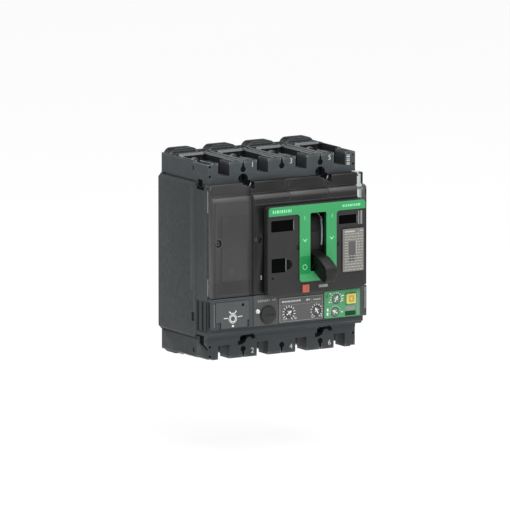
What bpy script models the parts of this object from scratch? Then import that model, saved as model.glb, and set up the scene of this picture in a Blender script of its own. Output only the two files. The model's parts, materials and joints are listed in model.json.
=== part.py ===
"""Four-pole moulded-case circuit breaker, switched off, built as separate pieces.

Case coordinates, in millimetres:
  x  from the left side of the case (0) to the right side (140)
  f  forward from the rear mounting plane (0)
  z  up from mid-height
World frame, in metres: X right, -Y to the front, Z up, with the origin at the
centre of the rear mounting plane.

A span is a (low, high) pair and a base is an (x, f, z) point. Helpers named c_ are
cut away from a piece and helpers named u_ are joined to it; many run past the
surface they cut so that they break through it cleanly.
"""
import bpy
import bmesh
from math import cos, pi, radians, sin
from mathutils import Matrix, Vector

MM = 0.001

# ---- driving dimensions (mm) ----
POLE_COUNT = 4
PITCH = 35.0
WIDTH = POLE_COUNT * PITCH
POLES = [(i + 0.5) * PITCH for i in range(POLE_COUNT)]   # centre of each pole
CASE_HALF_H = 58.5       # main case
TERM_HALF_H = 77.0       # terminal walls
DOME_HALF_H = 80.5       # rear domes
SEAM_F = 48.0            # split between rear base and front housing
SEAM_STEP_F = 52.5       # the split steps forward below SEAM_STEP_Z
SEAM_STEP_Z = -24.0
TERM_F = 69.3            # front of the terminal walls
CASE_F = 73.6            # front edge of the case sides
COVER_F = 81.7           # front of the smoked covers
TRIP_F = 82.0            # front of the trip unit
FASCIA_F = 88.5          # front of the fascia
TOGGLE_X = 90.9          # middle of the toggle
TOGGLE_F = 45.0          # toggle pivot
TOGGLE_Z = 12.0
TOGGLE_REST = radians(-17.3)
SHAFT_F = 28.0           # contact shaft axis, at z = 0
ARM_OFF = radians(28.0)  # contact arm from vertical, top forward, when off
FIX_X = (PITCH, WIDTH - PITCH)   # mounting holes
FIX_Z = 62.5
FIX_R = 3.1
TERMINAL_Z = 70.5        # terminal screws, above and below mid-height
GAP = 0.3                # clearance between neighbours
ENDS = ((1, "t"), (-1, "b"))     # top and bottom of the case

# ---- clean scene ----
for old in list(bpy.data.objects):
    bpy.data.objects.remove(old, do_unlink=True)
parts = bpy.data.collections.new("circuit_breaker")
cutters = bpy.data.collections.new("cutters")
bpy.context.scene.collection.children.link(parts)
bpy.context.scene.collection.children.link(cutters)


# ---- materials ----
def material(name, color, roughness, metallic=0.0, alpha=1.0):
    mat = bpy.data.materials.new(name)
    mat.use_nodes = True
    inputs = mat.node_tree.nodes["Principled BSDF"].inputs
    inputs["Base Color"].default_value = (*color, 1.0)
    inputs["Roughness"].default_value = roughness
    inputs["Metallic"].default_value = metallic
    inputs["Alpha"].default_value = alpha
    return mat


CASE = material("case_plastic", color=(0.064, 0.074, 0.080), roughness=0.55)
SMOKED = material("smoked_cover", color=(0.066, 0.064, 0.062), roughness=0.2, alpha=0.85)
BLACK = material("fascia_black", color=(0.048, 0.048, 0.047), roughness=0.42)
GREEN = material("escutcheon_green", color=(0.060, 0.40, 0.145), roughness=0.4)
LABEL = material("label_grey", color=(0.20, 0.20, 0.18), roughness=0.5)
TRIP_GREY = material("trip_grey", color=(0.13, 0.13, 0.13), roughness=0.5)
TRIP_GREEN = material("trip_green", color=(0.09, 0.30, 0.14), roughness=0.45)
HANDLE = material("handle_black", color=(0.045, 0.045, 0.043), roughness=0.4)
COPPER = material("plated_copper", color=(0.62, 0.42, 0.30), roughness=0.3, metallic=1.0)
STEEL = material("zinc_steel", color=(0.55, 0.55, 0.56), roughness=0.35, metallic=1.0)
CHUTE = material("arc_steel", color=(0.33, 0.33, 0.34), roughness=0.5, metallic=1.0)
ROTOR = material("rotor_plastic", color=(0.25, 0.22, 0.18), roughness=0.6)
COIL = material("coil_plastic", color=(0.05, 0.06, 0.09), roughness=0.5)
RED = material("trip_red", color=(0.52, 0.14, 0.07), roughness=0.4)
YELLOW = material("test_yellow", color=(0.52, 0.52, 0.12), roughness=0.4)
DIAL = material("dial_grey", color=(0.30, 0.30, 0.30), roughness=0.45)
LED = material("led_lens", color=(0.80, 0.82, 0.80), roughness=0.15)


# ---- coordinates, spans and outlines ----
def to_world(x, f, z):
    return Vector(((x - WIDTH / 2) * MM, -f * MM, z * MM))


def centred(middle, half):
    return (middle - half, middle + half)


def grow(span, amount):
    return (span[0] - amount, span[1] + amount)


def end_span(sign, inner, outer):
    """The z span from inner to outer at the top (sign 1) or bottom (sign -1) end."""
    return (inner, outer) if sign > 0 else (-outer, -inner)


def mirror_z(points):
    return [(u, -v) for u, v in reversed(points)]


def arc(centre, radius, start, turn, steps):
    """Points on an arc from angle start through angle turn, both ends included."""
    angles = [start + k * turn / steps for k in range(steps + 1)]
    return [(centre[0] + radius * cos(a), centre[1] + radius * sin(a)) for a in angles]


def rounded(x_span, z_span, radius, steps=4, bottom=True, top=True):
    """Rectangle, anticlockwise from the lower left; bottom and top say what is rounded."""
    (x0, x1), (z0, z1) = x_span, z_span
    corners = ((x0, z0, 1, 1, pi, bottom), (x1, z0, -1, 1, 1.5 * pi, bottom),
               (x1, z1, -1, -1, 0.0, top), (x0, z1, 1, -1, 0.5 * pi, top))
    points = []
    for x, z, x_in, z_in, start, is_round in corners:
        if is_round:
            points += arc((x + x_in * radius, z + z_in * radius), radius, start, pi / 2, steps)
        else:
            points.append((x, z))
    return points


# ---- solids: with a material they are pieces, without one they are hidden helpers ----
ALONG = {   # turns local z onto this case axis
    "F": Matrix(((1, 0, 0), (0, 0, -1), (0, 1, 0))),
    "X": Matrix(((0, 0, 1), (-1, 0, 0), (0, -1, 0))),
    "Z": Matrix.Identity(3),
}
SIDE_VIEW = Matrix(((0, 0, -1), (-1, 0, 0), (0, 1, 0)))   # outline points (f, z)


def add_object(name, mesh, mat):
    obj = bpy.data.objects.new(name, mesh)
    if mat is None:
        cutters.objects.link(obj)
        obj.hide_render = True
        obj.display_type = "WIRE"
    else:
        parts.objects.link(obj)
        mesh.materials.append(mat)
    return obj


def add_bmesh(name, bm, mat):
    mesh = bpy.data.meshes.new(name)
    bm.to_mesh(mesh)
    bm.free()
    return add_object(name, mesh, mat)


def add_curve_mesh(name, curve, placement, merge, mat):
    """Turn a curve into a closed mesh object and remove the curve."""
    temp = bpy.data.objects.new(curve.name, curve)
    cutters.objects.link(temp)
    temp.matrix_world = placement
    bpy.context.view_layer.update()
    evaluated = temp.evaluated_get(bpy.context.evaluated_depsgraph_get())
    mesh = bpy.data.meshes.new_from_object(evaluated)
    bm = bmesh.new()
    bm.from_mesh(mesh)
    bmesh.ops.remove_doubles(bm, verts=bm.verts, dist=merge)
    bmesh.ops.recalc_face_normals(bm, faces=bm.faces)
    bm.to_mesh(mesh)
    bm.free()
    obj = add_object(name, mesh, mat)
    obj.matrix_world = temp.matrix_world.copy()
    bpy.data.objects.remove(temp, do_unlink=True)
    bpy.data.curves.remove(curve)
    return obj


def fill_spline(curve, points):
    """Add a straight-sided spline through (u, v, w) points in mm."""
    spline = curve.splines.new("POLY")
    spline.points.add(len(points) - 1)
    for target, (u, v, w) in zip(spline.points, points):
        target.co = (u * MM, v * MM, w * MM, 1)
    return spline


def box(name, x_span, f_span, z_span, mat=None):
    """A block given by its spans, its origin at its centre."""
    spans = (x_span, f_span, z_span)
    bm = bmesh.new()
    bmesh.ops.create_cube(bm, size=1.0)
    size = Vector([(high - low) * MM for low, high in spans])
    bmesh.ops.scale(bm, vec=size, verts=bm.verts)
    obj = add_bmesh(name, bm, mat)
    obj.location = to_world(*[(low + high) / 2 for low, high in spans])
    return obj


def rod(name, base, radius, length, axis="F", segments=24):
    """A helper cylinder that starts at base and runs along +axis."""
    bm = bmesh.new()
    bmesh.ops.create_cone(bm, cap_ends=True, segments=segments, radius1=radius * MM,
                          radius2=radius * MM, depth=length * MM)
    bmesh.ops.translate(bm, vec=Vector((0, 0, length * MM / 2)), verts=bm.verts)
    for face in bm.faces:
        face.smooth = len(face.verts) == 4
    obj = add_bmesh(name, bm, None)
    obj.matrix_world = Matrix.Translation(to_world(*base)) @ ALONG[axis].to_4x4()
    return obj


def extrude(name, points, span, offset, turn, mat):
    curve = bpy.data.curves.new(name + "_outline", "CURVE")
    curve.dimensions = "2D"
    curve.fill_mode = "BOTH"
    curve.extrude = (span[1] - span[0]) / 2 * MM
    fill_spline(curve, [(u, v, 0) for u, v in points]).use_cyclic_u = True
    placement = Matrix.Translation(offset) @ turn.to_4x4()
    return add_curve_mesh(name, curve, placement, 1e-7, mat)


def front_outline(name, points, f_span, mat=None):
    """An outline of (x, z) points, solid across f_span."""
    offset = to_world(0, sum(f_span) / 2, 0)
    return extrude(name, points, f_span, offset, ALONG["F"], mat)


def side_outline(name, points, x_span, mat=None):
    """An outline of (f, z) points, solid across x_span."""
    offset = to_world(sum(x_span) / 2, 0, 0)
    return extrude(name, points, x_span, offset, SIDE_VIEW, mat)


def turned(name, profile, base, axis, mat, steps=20):
    """A turned piece: (radius, height) points, bottom to top, swept with a Screw."""
    bm = bmesh.new()
    verts = [bm.verts.new((r * MM, 0, h * MM)) for r, h in reversed(profile)]
    for pair in zip(verts, verts[1:]):
        bm.edges.new(pair)
    obj = add_bmesh(name, bm, mat)
    obj.matrix_world = Matrix.Translation(to_world(*base)) @ ALONG[axis].to_4x4()
    screw = obj.modifiers.new("turn", "SCREW")
    screw.steps = steps
    screw.render_steps = steps
    screw.use_merge_vertices = True
    screw.merge_threshold = 0.00001
    screw.use_smooth_shade = True
    return obj


def boolean(obj, tools, operation):
    for tool in tools:
        modifier = obj.modifiers.new(tool.name, "BOOLEAN")
        modifier.operation = operation
        modifier.solver = "EXACT"
        modifier.object = tool


def cut(obj, *tools):
    boolean(obj, tools, "DIFFERENCE")


def join(obj, *tools):
    boolean(obj, tools, "UNION")


# ---- rear base ----
SIDE_INSET = 3           # the terminal walls are this much narrower on each side
SHOULDER_Z = 62.0        # where the sloping shoulder meets the terminal wall
top_half = [(0, CASE_HALF_H), (SIDE_INSET, SHOULDER_Z), (SIDE_INSET, TERM_HALF_H),
            (WIDTH - SIDE_INSET, TERM_HALF_H), (WIDTH - SIDE_INSET, SHOULDER_Z),
            (WIDTH, CASE_HALF_H)]
CASE_OUTLINE = top_half + mirror_z(top_half)
PAST_SIDES = (-1, 141)
PAST_END = 90            # z beyond the ends of the case
POCKET_HALF_W = 12.5     # terminal pocket
POCKET_BACK = 17.4
POCKET_Z = 58
CHAMBER_HALF_W = 15.5    # pole chamber
CHAMBER_Z = (-54, 54)
DOME_R = 6               # dome corners
DOME_CORNER_X = 7        # from the pole centre to each corner centre
DOME_FOOT_Z = 70
DOME_DEPTH = 10.0
SHAFT_SLOT_HALF = 6.7


def dome(name, pole, sign):
    """Round-cornered dome behind a terminal."""
    half_width = DOME_CORNER_X + DOME_R
    points = [(pole - half_width, DOME_FOOT_Z)]
    for side, start in ((-1, pi), (1, pi / 2)):
        centre = (pole + side * DOME_CORNER_X, DOME_HALF_H - DOME_R)
        points += arc(centre, DOME_R, start, -pi / 2, 4)
    points.append((pole + half_width, DOME_FOOT_Z))
    if sign < 0:
        points = mirror_z(points)
    return front_outline(name, points, (0.0, DOME_DEPTH))


def build_rear_base():
    base = front_outline("rear_base", CASE_OUTLINE, (0, SEAM_STEP_F), CASE)
    cut(base, box("c_seam", PAST_SIDES, (SEAM_F, 60), (SEAM_STEP_Z, PAST_END)))
    for i, pole in enumerate(POLES):
        for sign, tag in ENDS:
            join(base, dome(f"u_dome_{tag}{i}", pole, sign))
    for i, pole in enumerate(POLES):
        for sign, tag in ENDS:
            end = f"{tag}{i}"
            # terminal pocket, passage for the strap, hole behind the terminal screw
            cut(base,
                box("c_pocket_" + end, centred(pole, POCKET_HALF_W), (POCKET_BACK, 60),
                    end_span(sign, POCKET_Z, PAST_END)),
                box("c_strap_" + end, centred(pole, 8.4), (POCKET_BACK, 21.0),
                    end_span(sign, 53, 59)),
                rod("c_screw_" + end, (pole, 9, sign * TERMINAL_Z), 3.4, 12, segments=12))
        cut(base, box(f"c_pole_{i}", centred(pole, CHAMBER_HALF_W), (3, 60), CHAMBER_Z))
    # slots in the pole walls that carry the contact shaft
    cut(base, box("c_shaft", (16, 124), (SHAFT_F - SHAFT_SLOT_HALF, 60),
                  (-SHAFT_SLOT_HALF, SHAFT_SLOT_HALF)))
    for x in FIX_X:
        for sign in (1, -1):
            cut(base, rod(f"c_fix_{int(x)}_{sign}", (x, -1, sign * FIX_Z), FIX_R, 60,
                          segments=12))


# ---- front housing ----
BAY_F = (56, 90)         # compartments open to the front
BAY_Z = (-51.7, 52)
SLOT_HALF_W = 5.15       # slots in the terminal walls
SLOT_Z = 66
COUNTERBORE_R = 4.3      # round the mounting holes
KEY_Z = 70.2             # keyholes between the poles
KEY_HALF_W = 1.0
KEY_R = 2.25
TRIP_BAR_F = 58.3
TRIP_BAR_Z = -24.9
POSTS = (("l", (70.3, 73.0)), ("r", (112.0, 114.7)))   # bearing posts of the trip bar
POST_HOLE_R = 1.6


def build_front_housing():
    housing = front_outline("front_housing", CASE_OUTLINE, (SEAM_F + GAP, TERM_F), CASE)
    join(housing,
         box("u_core", (0, WIDTH), (60, CASE_F), (-CASE_HALF_H, CASE_HALF_H)),
         box("u_chin", (0.4, 139.6), (65, 76.4), (-56.8, BAY_Z[0])))
    cut(housing, box("c_hseam", PAST_SIDES, (40, SEAM_STEP_F + GAP),
                     (-PAST_END, SEAM_STEP_Z + GAP)))
    for i, pole in enumerate(POLES):
        for sign, tag in ENDS:
            end = f"{tag}{i}"
            cut(housing,
                box("c_hpocket_" + end, centred(pole, POCKET_HALF_W), (40, 55),
                    end_span(sign, POCKET_Z, PAST_END)),
                box("c_hslot_" + end, centred(pole, SLOT_HALF_W), (50, 80),
                    end_span(sign, SLOT_Z, PAST_END)))
        cut(housing, box(f"c_hpole_{i}", centred(pole, CHAMBER_HALF_W), (40, 53.5), CHAMBER_Z))
    # compartments, and the opening from the mechanism to the contact shaft
    cut(housing,
        box("c_bay_main", (38.5, 136.5), BAY_F, BAY_Z),
        box("c_bay_neutral", (3.5, 34.5), BAY_F, BAY_Z),
        box("c_mech", (77, 104.5), (50, 60), (-27, 42)))
    for tag, (x0, x1) in POSTS:
        join(housing, box("u_post_" + tag, (x0, x1), (55.5, 62), (-27.4, -22.4)))
        cut(housing, rod("c_post_" + tag, (x0 - 1, TRIP_BAR_F, TRIP_BAR_Z), POST_HOLE_R,
                         x1 - x0 + 2, "X"))
    for x in FIX_X:
        for sign in (1, -1):
            hole = f"{int(x)}_{sign}"
            z = sign * FIX_Z
            cut(housing, rod("c_hfix_" + hole, (x, 40, z), FIX_R, 40, segments=12),
                rod("c_hcbore_" + hole, (x, 62, z), COUNTERBORE_R, 12, segments=16))
    for i in range(POLE_COUNT - 1):
        x = (i + 1) * PITCH
        for sign, tag in ENDS:
            cut(housing,
                box(f"c_key_{tag}{i}", centred(x, KEY_HALF_W), (63, 75),
                    end_span(sign, KEY_Z, PAST_END)),
                rod(f"c_keyr_{tag}{i}", (x, 63, sign * KEY_Z), KEY_R, 10, segments=12))


# ---- fascia and toggle-slot sizes, shared with the covers ----
FASCIA_X = (45.7, 134.0)
FASCIA_Z = (-27.5, 41.8)
FASCIA_CORNER = 3.0
FASCIA_WALL = 2.5
FASCIA_OVERLAP = 1.6     # fascia beyond the cover opening
TOGGLE_SLOT_X = centred(TOGGLE_X, 7.5)
TOGGLE_SLOT_Z = (-11.3, 35.0)

# ---- smoked covers ----
NEUTRAL_X = (0.4, 36.2)
MAIN_X = (36.6, 139.6)
COVER_BACK = CASE_F + GAP
COVER_WALL = 1.8
COVER_BOTTOM = -26.9
BAND_F = 76.2            # front of the band that wraps the top edge
COVER_SCREW_Z = 16.0
# side view, (f, z): face, chamfered step and top band
COVER_OUTER = [(COVER_BACK, COVER_BOTTOM), (COVER_F, COVER_BOTTOM), (COVER_F, 49.6),
               (79.9, 51.4), (BAND_F, 51.4), (BAND_F, 60.8), (69.7, 60.8), (69.7, 58.9),
               (COVER_BACK, 58.9)]
# the hollow behind it, running out at the back
COVER_INNER = [(60.0, COVER_BOTTOM + COVER_WALL),
               (COVER_F - COVER_WALL, COVER_BOTTOM + COVER_WALL),
               (COVER_F - COVER_WALL, 49.0), (79.2 - COVER_WALL, 49.6),
               (BAND_F - COVER_WALL, 49.6), (BAND_F - COVER_WALL, 58.4), (60.0, 58.4)]
# (radius, height)
COVER_SCREW = [(0, 0), (1.2, 0.0), (1.2, 3.9), (2.2, 3.9), (2.2, 5.7), (1.8, 6.0), (0, 6.0)]


def build_cover(tag, x_span, screw_x, window=None):
    name = tag + "_cover"
    cover = side_outline(name, COVER_OUTER, x_span, SMOKED)
    cut(cover, side_outline("c_" + name, COVER_INNER, grow(x_span, -COVER_WALL)))
    if window:
        cut(cover, box("c_cover_window", *window))
    # screw in a round boss near the left edge, with a cross drive
    x, z = screw_x, COVER_SCREW_Z
    join(cover, rod("u_boss_" + tag, (x, BAND_F, z), 3.2, 5.2, segments=20))
    cut(cover, rod("c_bossh_" + tag, (x, 78.0, z), 2.5, 8, segments=20),
        rod("c_bosss_" + tag, (x, 74.0, z), 1.5, 8, segments=12))
    screw = turned(name + "_screw", COVER_SCREW, (x, 74.4, z), "F", STEEL, steps=16)
    drive_f = (79.4, 82)
    cut(screw, box("c_drive_a_" + tag, centred(x, 1.4), drive_f, centred(z, 0.35)),
        box("c_drive_b_" + tag, centred(x, 0.35), drive_f, centred(z, 1.4)))


def build_covers():
    build_cover("neutral", NEUTRAL_X, 5.4)
    # opening under the fascia for its rim, the toggle and the button
    window = (grow(FASCIA_X, -FASCIA_OVERLAP), (70, 90), (-30, FASCIA_Z[1] - FASCIA_OVERLAP))
    build_cover("main", MAIN_X, 41.2, window)


# ---- fascia, escutcheon and nameplate ----
BUTTON_HOLE_X = (76.6, 83.1)
BUTTON_HOLE_TOP = -20.8
# sunk windows: x span, z span
WINDOWS = (((48.6, 69.3), (22.0, 31.0)), ((49.0, 62.2), (-9.9, 1.3)),
           ((110.0, 126.8), (23.5, 30.5)))
WINDOW_FLOOR = 87.3
SMALL_CORNER = 0.8       # windows and plates
ESCUTCHEON_LIP = 0.2     # escutcheon opening is this much inside the toggle slot
FACE_BACK = FASCIA_F + GAP   # back of what lies on the fascia


def build_fascia():
    fascia = front_outline("fascia", rounded(FASCIA_X, FASCIA_Z, FASCIA_CORNER),
                           (COVER_F + GAP, FASCIA_F), BLACK)
    cut(fascia,
        box("c_fascia_back", grow(FASCIA_X, -FASCIA_WALL), (70, 85.5),
            grow(FASCIA_Z, -FASCIA_WALL)),
        box("c_slot", TOGGLE_SLOT_X, (70, 95), TOGGLE_SLOT_Z),
        box("c_trip_hole", BUTTON_HOLE_X, (70, 95), (-30.0, BUTTON_HOLE_TOP)))
    for k, (x_span, z_span) in enumerate(WINDOWS):
        cut(fascia, front_outline(f"c_window_{k}", rounded(x_span, z_span, SMALL_CORNER, 2),
                                  (WINDOW_FLOOR, 95)))


def build_escutcheon():
    """Green top band, two strips beside the toggle slot and a bar under it."""
    f_span = (FACE_BACK, FASCIA_F + 1.1)
    band = rounded(grow(FASCIA_X, -GAP), (34.6, FASCIA_Z[1] - GAP), 2.6, 3, bottom=False)
    strips = rounded((74.0, 107.4), (-18.7, 38.0), 2.4, 3, top=False)
    opening = rounded(grow(TOGGLE_SLOT_X, -ESCUTCHEON_LIP),
                      grow(TOGGLE_SLOT_Z, -ESCUTCHEON_LIP), 1.2, 2)
    escutcheon = front_outline("escutcheon", band, f_span, GREEN)
    join(escutcheon, front_outline("u_strips", strips, f_span))
    cut(escutcheon, front_outline("c_esc_slot", opening, (80, 95)))


def build_nameplate():
    points = rounded((114.0, 132.3), (-14.2, 19.4), SMALL_CORNER, 2)
    front_outline("nameplate", points, (FACE_BACK, FASCIA_F + 0.8), LABEL)


# ---- trip unit, its controls and plates ----
LOWER_Z = (-51.4, -27.3)     # trip unit and neutral lower cover
PLATE_F = (81.5, 82.3)
DIALS = (("dial_current", 68.6, -43.3), ("dial_delay", 93.8, -43.6),    # name, x, z
         ("dial_sensitivity", 111.5, -36.0), ("dial_time", 110.5, -46.1))
DIAL_HOLE_R = 3.95
DIAL_STEM_HOLE_R = 1.65
PLATES = (("settings_plate", (59.5, 99.7), (-50.5, -31.0), TRIP_GREY),
          ("leakage_plate", (100.8, 133.3), (-50.7, -29.4), TRIP_GREEN))
NEUTRAL_PLATE = ((2.4, 32.5), (-50.7, -30.0))
TEST_HOLE_X = (119.9, 129.2)
TEST_HOLE_Z = (-41.1, -32.3)
TEST_HOLE = (TEST_HOLE_X, (70, 90), TEST_HOLE_Z)
CAP_X, CAP_Z = 49.7, -43.0
LED_X, LED_Z = 40.6, -39.8
# (radius, height)
DIAL_PROFILE = [(0, 0), (1.5, 0), (1.5, 5.4), (3.6, 5.4), (3.6, 7.6), (3.3, 7.9), (0, 7.9)]
CAP_PROFILE = [(0, 0), (5.7, 0), (5.7, 1.8), (6.8, 1.8), (6.8, 2.9), (6.3, 3.4), (0, 3.4)]
LED_PROFILE = [(0, 0), (2.0, 0), (2.0, 2.6), (1.7, 3.2), (1.0, 3.6), (0, 3.75)]


def plate_recess(name, x_span, z_span):
    return box(name, grow(x_span, GAP), (PLATE_F[0] - GAP, 90), grow(z_span, GAP))


def trip_plate(name, x_span, z_span, mat):
    return front_outline(name, rounded(x_span, z_span, SMALL_CORNER, 2), PLATE_F, mat)


def build_trip_housing():
    trip = box("trip_unit_housing", MAIN_X, (COVER_BACK, TRIP_F), LOWER_Z, BLACK)
    join(trip, box("u_trip_body", (39.0, 136.0), (56.5, 75), (-51.3, -28.0)))
    cut(trip, box("c_trip_cavity", (41.0, 134.0), (50, 78.0), (-49.6, -29.6)))
    for name, x_span, z_span, _ in PLATES:
        cut(trip, plate_recess("c_rec_" + name, x_span, z_span))
    for name, x, z in DIALS:
        cut(trip, rod("c_t_" + name, (x, 79.9, z), DIAL_HOLE_R, 8, segments=20),
            rod("c_s_" + name, (x, 70, z), DIAL_STEM_HOLE_R, 20, segments=16))
    cut(trip, box("c_test_hole", *TEST_HOLE),
        rod("c_cap", (CAP_X, 80.2, CAP_Z), 6.0, 6),
        rod("c_led", (LED_X, 79.5, LED_Z), 2.3, 6, segments=16))


def build_trip_plates():
    for name, x_span, z_span, mat in PLATES:
        plate = trip_plate(name, x_span, z_span, mat)
        for dial, x, z in DIALS:
            if x_span[0] < x < x_span[1]:
                cut(plate, rod("c_p_" + dial, (x, 70, z), DIAL_HOLE_R, 30, segments=20))
        if name == "leakage_plate":
            cut(plate, box("c_test_plate", *TEST_HOLE))


def build_dials():
    for name, x, z in DIALS:
        dial = turned(name, DIAL_PROFILE, (x, 74.8, z), "F", DIAL, steps=12)
        # upright groove across the face
        cut(dial, box("c_arrow_" + name, centred(x, 0.55), (81.9, 84), centred(z, 2.6)))


def build_test_button():
    test = box("test_button", grow(TEST_HOLE_X, -GAP), (76.0, 84.0),
               grow(TEST_HOLE_Z, -GAP), YELLOW)
    join(test, box("u_test_flange", (118.6, 130.5), (75.0, 77.0), (-42.2, -31.2)))


def build_cap_and_led():
    turned("test_connector_cap", CAP_PROFILE, (CAP_X, 80.5, CAP_Z), "F", BLACK, steps=24)
    turned("status_led", LED_PROFILE, (LED_X, 79.8, LED_Z), "F", LED, steps=16)


def build_neutral_lower_cover():
    lower = box("neutral_lower_cover", NEUTRAL_X, (COVER_BACK, TRIP_F), LOWER_Z, CASE)
    cut(lower,
        box("c_low", grow(NEUTRAL_X, -COVER_WALL), (60, 80.0), grow(LOWER_Z, -COVER_WALL)),
        plate_recess("c_low_plate", *NEUTRAL_PLATE))
    trip_plate("neutral_plate", *NEUTRAL_PLATE, TRIP_GREY)


# ---- toggle ----
SKIRT_INNER_R, SKIRT_OUTER_R = 37.4, 39.4
SKIRT_HALF_ANGLE = radians(47.0)
# side view as (distance from the pivot, height above the handle's centre line)
WEB = ((2.0, -3.6), (38.5, -6.0), (38.5, 6.0), (2.0, 3.6))
# waisted neck, top sweeping down to a blunt tip, foot flaring below
PADDLE = ((38.3, -7.4), (44.0, -7.8), (48.6, -8.1), (52.6, -9.1), (58.0, -10.5),
          (63.0, -11.0), (66.6, -10.6), (68.2, -9.2), (68.5, -6.6), (68.3, -4.0),
          (67.9, -1.2), (67.0, 0.9), (65.0, 2.2), (61.3, 3.2), (57.5, 4.2),
          (53.5, 4.7), (49.0, 4.2), (45.0, 3.8), (41.2, 4.4), (38.3, 5.6))


def handle_points(points):
    """(distance, height) along the resting handle -> (f, z)."""
    along, across = cos(TOGGLE_REST), sin(TOGGLE_REST)
    return [(TOGGLE_F + r * along - h * across, TOGGLE_Z + r * across + h * along)
            for r, h in points]


def build_toggle():
    pivot = (TOGGLE_F, TOGGLE_Z)
    sweep = 2 * SKIRT_HALF_ANGLE
    skirt = arc(pivot, SKIRT_OUTER_R, TOGGLE_REST - SKIRT_HALF_ANGLE, sweep, 12)
    skirt += arc(pivot, SKIRT_INNER_R, TOGGLE_REST + SKIRT_HALF_ANGLE, -sweep, 12)
    toggle = side_outline("toggle_handle", skirt, centred(TOGGLE_X, 9.0), HANDLE)
    join(toggle,
         side_outline("u_web", handle_points(WEB), centred(TOGGLE_X, 4.5)),
         rod("u_hub", (82.2, *pivot), 4.4, 17.4, "X", segments=20),
         rod("u_pin", (78.5, *pivot), 2.7, 24.2, "X"),
         side_outline("u_paddle", handle_points(PADDLE), centred(TOGGLE_X, 5.3)))


# ---- mechanism ----
# side plate, (f, z)
SIDE_PLATE = [(39.6, 4.6), (46.4, 4.6), (52.0, -14.0), (66.0, -14.0), (66.0, 36.0),
              (52.0, 36.0), (46.6, 17.2), (39.6, 17.2)]
# bridges between the side plates and feet outside them: name, x, f and z spans
FRAME_BLOCKS = (
    ("u_bridge_low", (79.4, 102.4), (57.0, 63.5), (-14.0, -12.0)),
    ("u_bridge_top", (79.4, 102.4), (57.0, 62.0), (34.0, 36.0)),
    ("u_foot_a", (72.5, 79.6), (56.3, 57.8), (-13.9, -7.0)),
    ("u_foot_b", (72.5, 79.6), (56.3, 57.8), (29.0, 35.9)),
    ("u_foot_c", (102.2, 109.5), (56.3, 57.8), (-13.9, -7.0)),
    ("u_foot_d", (102.2, 109.5), (56.3, 57.8), (29.0, 35.9)),
)
SPRING_TURNS = 5
SPRING_STEPS = 8         # points per turn
SPRING_R = 2.1
SPRING_WIRE_R = 0.45
SPRING_BOTTOM = -6.0
SPRING_LENGTH = 36.0
BUTTON_CLEARANCE = 0.2
# (radius, height): journals at both ends
BAR_PROFILE = [(0, 0), (1.5, 0), (1.5, 3.0), (2.0, 3.0), (2.0, 41.4), (1.5, 41.4),
               (1.5, 44.4), (0, 44.4)]
# (f, z)
BAR_LEVER = [(57.4, -25.4), (59.2, -25.4), (59.2, -22.6), (65.7, -22.6), (65.7, -21.4),
             (57.4, -21.4)]
# (radius, height): plunger, then coil body
ACTUATOR_PROFILE = [(0, 0), (1.8, 0), (1.8, 4.0), (7.0, 4.0), (7.0, 23.0), (0, 23.0)]


def build_mechanism_frame():
    frame = side_outline("mechanism_frame", SIDE_PLATE, (79.0, 80.6), STEEL)
    join(frame, side_outline("u_side_r", SIDE_PLATE, (101.2, 102.8)),
         *[box(*block) for block in FRAME_BLOCKS])
    cut(frame, rod("c_axle", (70, TOGGLE_F, TOGGLE_Z), 2.8, 40, "X", segments=32))


def build_main_spring():
    """Upright coil spring beside the toggle web."""
    curve = bpy.data.curves.new("spring_wire", "CURVE")
    curve.dimensions = "3D"
    curve.bevel_depth = SPRING_WIRE_R * MM
    curve.bevel_resolution = 1
    curve.use_fill_caps = True
    count = SPRING_TURNS * SPRING_STEPS
    points = []
    for k in range(count + 1):
        angle = 2 * pi * k / SPRING_STEPS
        points.append((SPRING_R * cos(angle), SPRING_R * sin(angle),
                       SPRING_BOTTOM + SPRING_LENGTH * k / count))
    fill_spline(curve, points)
    placement = Matrix.Translation(to_world(98.2, 54.6, 0))
    add_curve_mesh("main_spring", curve, placement, 1e-6, STEEL)


def build_trip_button():
    button = box("trip_button", grow(BUTTON_HOLE_X, -BUTTON_CLEARANCE), (85.8, 89.6),
                 (-27.2, BUTTON_HOLE_TOP - BUTTON_CLEARANCE), RED)
    join(button, box("u_stem", (78.6, 80.9), (66.0, 87.0), (-23.2, -21.3)))


def build_trip_bar():
    bar = turned("trip_bar", BAR_PROFILE, (70.3, TRIP_BAR_F, TRIP_BAR_Z), "X", STEEL, steps=24)
    join(bar, side_outline("u_lever", BAR_LEVER, (78.4, 81.1)))


def build_trip_actuator():
    turned("trip_actuator", ACTUATOR_PROFILE, (126.0, 64.5, -24.0), "Z", COIL)


# ---- contact shaft and moving contacts ----
SHAFT_R = 6.2
DRUM_R = 10.0            # drum in each pole
DRUM_HALF_W = 10.5
SHAFT_INSET = 2.6        # shaft end from the side of the case
ARM_HALF_W = 4           # contact arm
ARM_HALF_T = 1.5
# (along the arm, across it): a thicker contact at each end, on opposite faces
ARM_OUTLINE = [(-20.0, -1.5), (14, -1.5), (14.6, -2.5), (20.0, -2.5),
               (20.0, 1.5), (-14, 1.5), (-14.6, 2.5), (-20.0, 2.5)]


def arm_points(points):
    """(up along the arm, forward across it) -> (f, z)."""
    return [(SHAFT_F + u * sin(ARM_OFF) + v * cos(ARM_OFF), u * cos(ARM_OFF) - v * sin(ARM_OFF))
            for u, v in points]


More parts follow.
